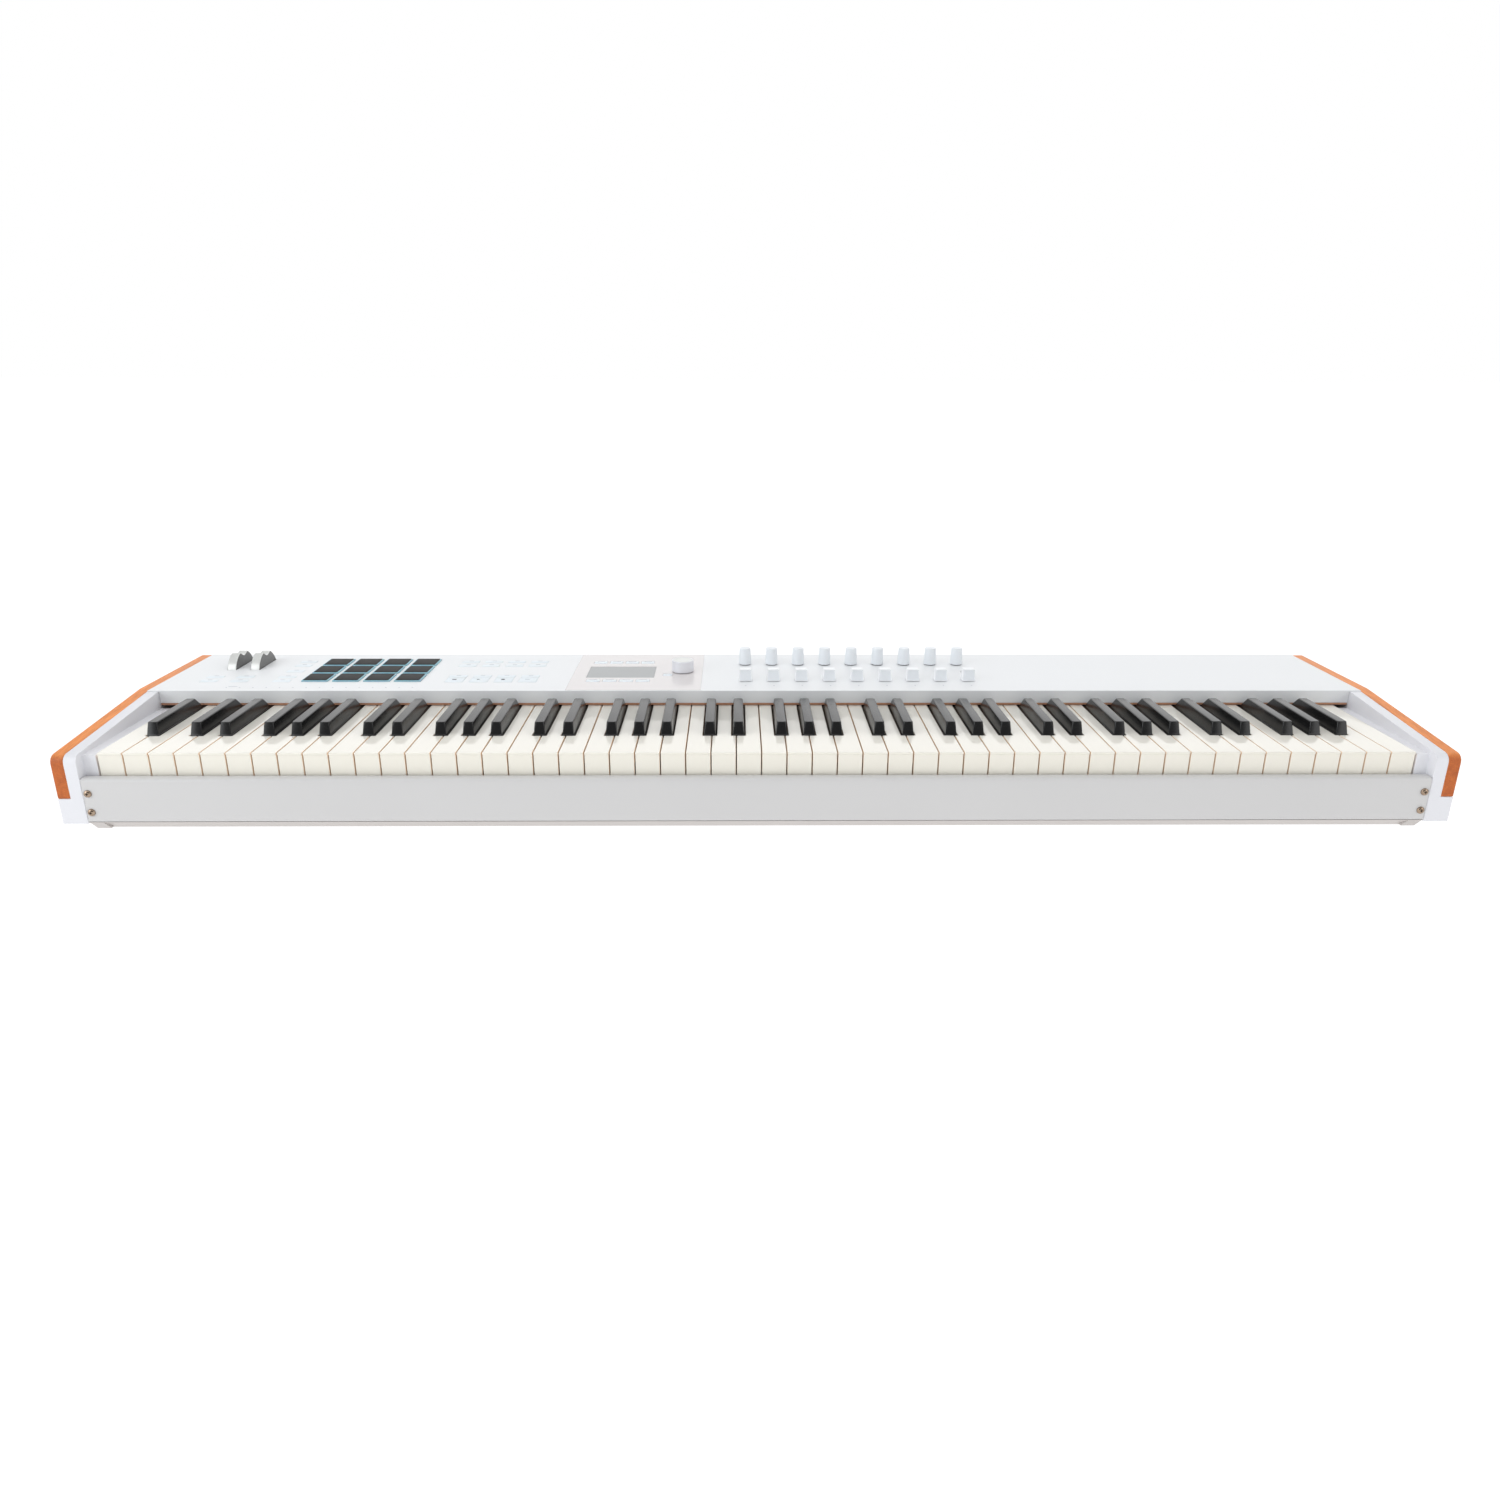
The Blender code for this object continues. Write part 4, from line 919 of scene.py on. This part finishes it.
def make_dial():
    """Plain dial with a dished silver plate in its top."""
    low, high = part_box("main_dial")
    middle = node_centre("main_dial")
    radius = (high.x - low.x) / 2
    base = PANEL_TOP + CONTROL_GAP
    rim = 0.88 * radius
    profile = [(CONTROL_SHAFT, low.z), (CONTROL_SHAFT, base), (radius - 0.5 * MM, base)]
    profile += [(radius, base + 0.5 * MM)]
    profile += corner_arc(radius, high.z, 0.9 * MM)
    profile += [(rim, high.z), (rim - 0.1 * MM, high.z - 0.5 * MM)]
    body = turned_piece("dial_body", middle, profile, [white_plastic()], 96)
    place(body, "main_dial", "white_plastic", "main_dial")
    plate_radius = rim - 0.2 * MM
    dish = [(plate_radius, high.z - 0.48 * MM)]
    for i in range(7):
        share = i / 7
        depth = 0.1 * MM + 0.9 * MM * math.sin(share * math.pi / 2)
        dish.append((plate_radius * (1 - share), high.z - depth))
    plate = turned_piece("dial_plate", middle, dish, [dial_silver()], 96)
    place(plate, "main_dial", "wheel_silver")


def make_faders():
    """Tapered caps with a slightly hollow front and back, each on its blade."""
    for number in range(1, 10):
        node = "fader_cap_%d" % number
        low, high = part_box(node)
        middle = node_centre(node)
        base = PANEL_TOP + 0.6 * MM
        half_x, half_y = (high.x - low.x) / 2, (high.y - low.y) / 2
        top_x, top_y = half_x - 1.0 * MM, half_y - 1.2 * MM
        bm = bmesh.new()
        loft(bm, [
            rectangle(around(middle.x, half_x), (low.y, high.y), base),
            rectangle(around(middle.x, top_x), around(middle.y, top_y), high.z),
        ])
        bmesh.ops.recalc_face_normals(bm, faces=bm.faces)
        hollow = [f for f in bm.faces if abs(f.normal.y) > 0.7]
        bmesh.ops.inset_individual(bm, faces=hollow, thickness=1.3 * MM, depth=-0.5 * MM)
        # The hollows take the knobs' darker plastic as painted shade, the rest of the cap its lighter copy as
        # painted highlight.
        for face in hollow:
            face.material_index = 1
        cap = as_object(node + "_body", bm, [fader_cap_painted_highlight(), knob_plastic()])
        bevel(cap, 0.7 * MM, 4, 25)
        place(cap, node, "white_plastic", node)
        blade = bmesh.new()
        box(blade, around(middle.x, 0.7 * MM), around(middle.y, 2 * MM), (low.z, base + 0.3 * MM))
        stem = as_object(node + "_blade", blade, [galvanised()])
        place(stem, node, "steel")


GROOVE_CENTRE = -5.5                 # degrees from the top of the wheel
GROOVE_HALF = 21                     # degrees
GROOVE_DEPTH = 5.2 * MM
DISC_HALF = 4.75 * MM
AXLE_RADIUS = 2.2 * MM


def wheel_outline(node, steps=160):
    """Side outline of a wheel with its finger groove, as (y, z) points."""
    low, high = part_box(node)
    centre_y = (low.y + high.y) / 2
    radius = (high.y - low.y) / 2
    centre_z = low.z + radius
    points = []
    for i in range(steps):
        angle = -math.pi + 2 * math.pi * i / steps
        away = abs(angle - math.radians(GROOVE_CENTRE)) / math.radians(GROOVE_HALF)
        reach = radius - (GROOVE_DEPTH * math.cos(away * math.pi / 2) if away < 1 else 0)
        points.append((centre_y - reach * math.sin(angle), centre_z + reach * math.cos(angle)))
    return points, centre_y, centre_z


def make_wheels():
    """Two silver-treaded discs with sides painted dark as shade, each on its axle."""
    for node in ("pitch_wheel", "mod_wheel"):
        low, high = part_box(node)
        middle_x = (low.x + high.x) / 2
        points, centre_y, centre_z = wheel_outline(node)
        bm = bmesh.new()
        faces = loft(bm, [[(x, y, z) for y, z in points] for x in around(middle_x, DISC_HALF)])
        # Both flat sides take the dark finish as painted shade.
        for face in faces[:2]:
            face.material_index = 1
        disc = as_object(node + "_disc", bm, [tread_silver(), wheel_flank_painted_shade()], 30)
        bevel(disc, 0.8 * MM, 3, 60)
        place(disc, node, "wheel_silver", node)
        axle = bmesh.new()
        ends = (low.x, high.x)
        loft(axle, [[(x, centre_y + u, centre_z + v) for u, v in circle(AXLE_RADIUS, 32)] for x in ends])
        rod = as_object(node + "_axle", axle, [galvanised()])
        place(rod, node, "steel")


# ---------------------------------------------------------------- case

def panel_rule(middle):
    """The panel's folded front edge is rounder than its cut edges."""
    front = abs(middle.y - PANEL_LOW.y) < 0.1 * MM
    if front and abs(middle.z - PANEL_TOP) < 0.1 * MM:
        return 1.3 * MM
    return None


def make_seam(node, skin):
    """Frame that fills the gap round a plate, just under its top face.

    It is open in the middle, because caps and the dial's shaft pass through the plate."""
    low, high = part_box(node)
    x_span, y_span = (low.x, high.x), (low.y, high.y)
    outside, inside = -0.28 * MM, 1.0 * MM
    bottom, top = high.z - 0.9 * MM, high.z - 0.25 * MM
    outer = bmesh.new()
    box(outer, shrunk(x_span, outside), shrunk(y_span, outside), (bottom, top))
    seam = as_object(node + "_seam", outer, [skin])
    opening = bmesh.new()
    box(opening, shrunk(x_span, inside), shrunk(y_span, inside), (bottom - MM, top + MM))
    combine(seam, opening, "DIFFERENCE")
    place(seam, CASE, "faceplate")


DOT_HALF = 0.7 * MM
PAD_DOTS = 15
PAD_DOT_FIRST_X = -0.5596
PAD_DOT_PITCH = 13.92 * MM
PAD_DOT_Y = KEY_FRONT_Y + 159.2 * MM
FADER_DOT_Y = KEY_FRONT_Y + 166.7 * MM


def make_panel():
    """Panel sheet, display plate and glass with their seams, felt strip and printed marks."""
    refined("control_panel", [white_sheet()], 0.22 * MM, rule=panel_rule)
    plain_copy("display_faceplate", faceplate_gloss(), "faceplate")
    plain_copy("display_screen", screen_glass(), "screen")
    make_seam("display_faceplate", white_plastic())
    make_seam("display_screen", faceplate_gloss())
    refined("felt_strip", [felt_red()], 0.5 * MM, slot_name="felt")
    dots = [(PAD_DOT_FIRST_X + i * PAD_DOT_PITCH, PAD_DOT_Y) for i in range(PAD_DOTS)]
    marks = bmesh.new()
    for x, y in dots:
        mark(marks, around(x, DOT_HALF), around(y, DOT_HALF), PANEL_TOP)
    dash_x = (PAD_DOT_FIRST_X + 0.5 * MM, PAD_DOT_FIRST_X + 9.8 * MM)
    mark(marks, dash_x, (PAD_DOT_Y + 3.2 * MM, PAD_DOT_Y + 4.3 * MM), PANEL_TOP)
    for number in range(1, 10):
        x = node_centre("fader_cap_%d" % number).x
        mark(marks, around(x, DOT_HALF), around(FADER_DOT_Y, DOT_HALF), PANEL_TOP)
    place(as_object("panel_marks", marks, [ink_grey()]), CASE, "white_sheet")


def make_ends():
    """Wooden end panels and the moulded cheeks inside them."""
    for side in ("left", "right"):
        refined("wood_side_" + side, [stained_wood()], 0.9 * MM, slot_name="wood", segments=4)
        refined("cheek_" + side, [white_plastic()], 0.8 * MM, slot_name="white_plastic")


def make_rail():
    """Front rail and its four screws."""
    refined("front_rail", [rail_coat_painted_shade()], 0.5 * MM)
    for node in ("upper_left", "lower_left", "upper_right", "lower_right"):
        make_screw("rail_screw_" + node)


HEAD_HEIGHT = 2.2 * MM
SHANK_RADIUS = 1.6 * MM
CROSS_ARM = 1.9 * MM
CROSS_HALF = 0.45 * MM
CROSS_DEPTH = 1.5 * MM


def make_screw(node):
    """Domed pan head with a tapering cross recess, on its shank."""
    low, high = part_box(node)
    x, z = (low.x + high.x) / 2, (low.z + high.z) / 2
    radius = (high.x - low.x) / 2
    base = low.y + HEAD_HEIGHT
    profile = [(0.02 * MM, low.y)]
    for i in range(1, 9):
        angle = math.pi / 2 * i / 8
        rise = HEAD_HEIGHT * 0.75 * (1 - math.cos(angle))
        profile.append((radius * math.sin(angle) ** 0.8, low.y + rise))
    profile += [(radius, base), (SHANK_RADIUS, base), (SHANK_RADIUS, high.y - 1.2 * MM), (0.4 * MM, high.y)]
    bm = bmesh.new()
    turned_y(bm, x, z, profile, 40)
    screw = as_object(node + "_body", bm, [painted_reflection_chrome()])
    for half_x, half_z in ((CROSS_ARM, CROSS_HALF), (CROSS_HALF, CROSS_ARM)):
        cross = bmesh.new()
        rings = []
        for taper, y in ((1, low.y - MM), (2, low.y + CROSS_DEPTH)):
            xs, zs = around(x, half_x / taper), around(z, half_z / taper)
            rings.append([(xs[0], y, zs[0]), (xs[1], y, zs[0]), (xs[1], y, zs[1]), (xs[0], y, zs[1])])
        loft(cross, rings)
        combine(screw, cross, "DIFFERENCE")
    # The cross recess takes the near-black finish as painted shade.
    screw.data.materials.append(painted_recess_shade())
    for face in screw.data.polygons:
        off_axis = math.hypot(face.center.x - x, face.center.z - z)
        deep = 0.35 * MM < face.center.y - low.y < 2.0 * MM
        face.material_index = 1 if deep and off_axis < CROSS_ARM + 0.2 * MM else 0
    screw.data.shade_smooth()
    screw.data.set_sharp_from_angle(angle=math.radians(40))
    place(screw, CASE, "screw_chrome", node)


BOARD_LEVEL = 14.5 * MM              # the board's underside above that of the sockets
BOARD_THICK = 1.6 * MM


def board_skin(centre):
    """Green board, black socket housings below its level and metal encoder bodies above it."""
    board_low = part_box("main_board")[0].z + BOARD_LEVEL
    if centre.z < board_low - 0.1 * MM:
        return 1
    return 2 if centre.z > board_low + BOARD_THICK + 0.1 * MM else 0


HOLE_ZONE_HALF_X = 0.3               # the holes lie in the middle of the rear wall
HOLE_ZONE_MARGINS = (15 * MM, 8 * MM)         # from its lower and its upper edge
HOLE_SPACING = 6 * MM                # rim points further apart than this are two holes


def rear_holes():
    """The x, z, half width and half height of each socket hole in the rear wall."""
    low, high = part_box("bottom_case")
    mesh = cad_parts["bottom_case"].data
    bottom, top = low.z + HOLE_ZONE_MARGINS[0], high.z - HOLE_ZONE_MARGINS[1]
    rims = []
    for vert in mesh.vertices:
        x, y, z = vert.co
        if abs(y - high.y) < 0.01 * MM and abs(x) < HOLE_ZONE_HALF_X and bottom < z < top:
            rims.append((x, z))
    groups = []
    for x, z in sorted(rims):
        if not groups or x - groups[-1][-1][0] > HOLE_SPACING:
            groups.append([])
        groups[-1].append((x, z))
    holes = []
    for group in groups:
        xs, zs = [x for x, z in group], [z for x, z in group]
        half_x, half_z = (max(xs) - min(xs)) / 2, (max(zs) - min(zs)) / 2
        holes.append(((max(xs) + min(xs)) / 2, (max(zs) + min(zs)) / 2, half_x, half_z))
    return holes


def closed_loft(bm, rings):
    """Joins rings of points in turn and the last ring to the first, like a tube bent into itself."""
    loops = [[bm.verts.new(point) for point in ring] for ring in rings]
    for first, second in zip(loops, loops[1:] + loops[:1]):
        for i in range(len(first)):
            j = (i + 1) % len(first)
            bm.faces.new((first[i], first[j], second[j], second[i]))


def ring_y(bm, x, z, radii, y_span, segments=48):
    """Flat ring about a line along y, with softly broken edges at its rear."""
    inner, outer = radii
    front, rear = y_span
    edge = 0.3 * MM
    profile = [(outer, front), (outer, rear - edge), (outer - edge, rear), (inner + edge, rear),
               (inner, rear - edge), (inner, front)]
    closed_loft(bm, [[(x + u, y, z + v) for u, v in circle(radius, segments)] for radius, y in profile])


def make_socket(x, z, half_x, half_z):
    """What shows of a rear socket inside its hole in the wall."""
    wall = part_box("bottom_case")[1].y
    name = "socket_%d" % round(x / MM)
    metal = bmesh.new()
    if half_x > 1.3 * half_z:
        front, rear = wall - 1.9 * MM, wall - 0.2 * MM
        size_x, size_z = half_x - 0.15 * MM, half_z - 0.15 * MM
        bore_x, bore_z = size_x - 0.5 * MM, size_z - 0.5 * MM
        shell = [(size_x, size_z, front), (size_x, size_z, rear)]
        shell += [(bore_x, bore_z, rear), (bore_x, bore_z, front)]
        rings = []
        for wide, tall, y in shell:
            outline = rounded_rectangle((-wide, wide), (-tall, tall), 0.8 * MM, 0)
            rings.append([(x + point[0], y, z + point[1]) for point in outline])
        closed_loft(metal, rings)
    else:
        wide = half_x > 6 * MM
        inner = half_x - (1.1 if wide else 1.2) * MM
        ring_y(metal, x, z, (inner, half_x - 0.1 * MM), (wall - 1.9 * MM, wall + 0.15 * MM))
        if wide:
            pins = bmesh.new()
            profile = [(0.7 * MM, wall - 4.0 * MM), (0.7 * MM, wall - 2.6 * MM), (0.4 * MM, wall - 2.3 * MM)]
            for angle in (0, 45, 90, 135, 180):
                u = 4.6 * MM * math.cos(math.radians(angle))
                v = 4.6 * MM * math.sin(math.radians(angle))
                turned_y(pins, x + u, z - v, profile, 16)
            place(as_object(name + "_pins", pins, [painted_reflection_chrome()]), CASE, "circuit_board")
    place(as_object(name + "_ring", metal, [galvanised()]), CASE, "circuit_board")


def make_case():
    """Bottom case, keybed frame, board with its sockets, and the four feet."""
    refined("bottom_case", [painted_shade_case_coat()], 0.4 * MM)
    refined("keybed_frame", [galvanised()], 0.3 * MM, slot_name="steel")
    refined("main_board", [board_green(), socket_black(), galvanised()], 0.1 * MM,
            slot_name="circuit_board", skin_of=board_skin)
    for hole in rear_holes():
        make_socket(*hole)
    for end in ("front", "rear"):
        for side in ("left", "right"):
            node = "foot_%s_%s" % (end, side)
            low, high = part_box(node)
            radius = (high.x - low.x) / 2
            profile = [(2.5 * MM, low.z + 1.5 * MM), (3.2 * MM, low.z), (radius - 1.2 * MM, low.z)]
            profile += [(radius - 0.3 * MM, low.z + 0.5 * MM), (radius, low.z + 1.4 * MM), (radius, high.z)]
            foot = turned_piece(node + "_body", node_centre(node), profile, [rubber()], 64)
            place(foot, CASE, "rubber", node)


make_camera()
make_light()
make_floor()
make_case()
make_ends()
make_rail()
make_panel()
make_keys()
make_buttons()
make_pads()
make_knobs()
make_dial()
make_faders()
make_wheels()

bpy.context.view_layer.update()
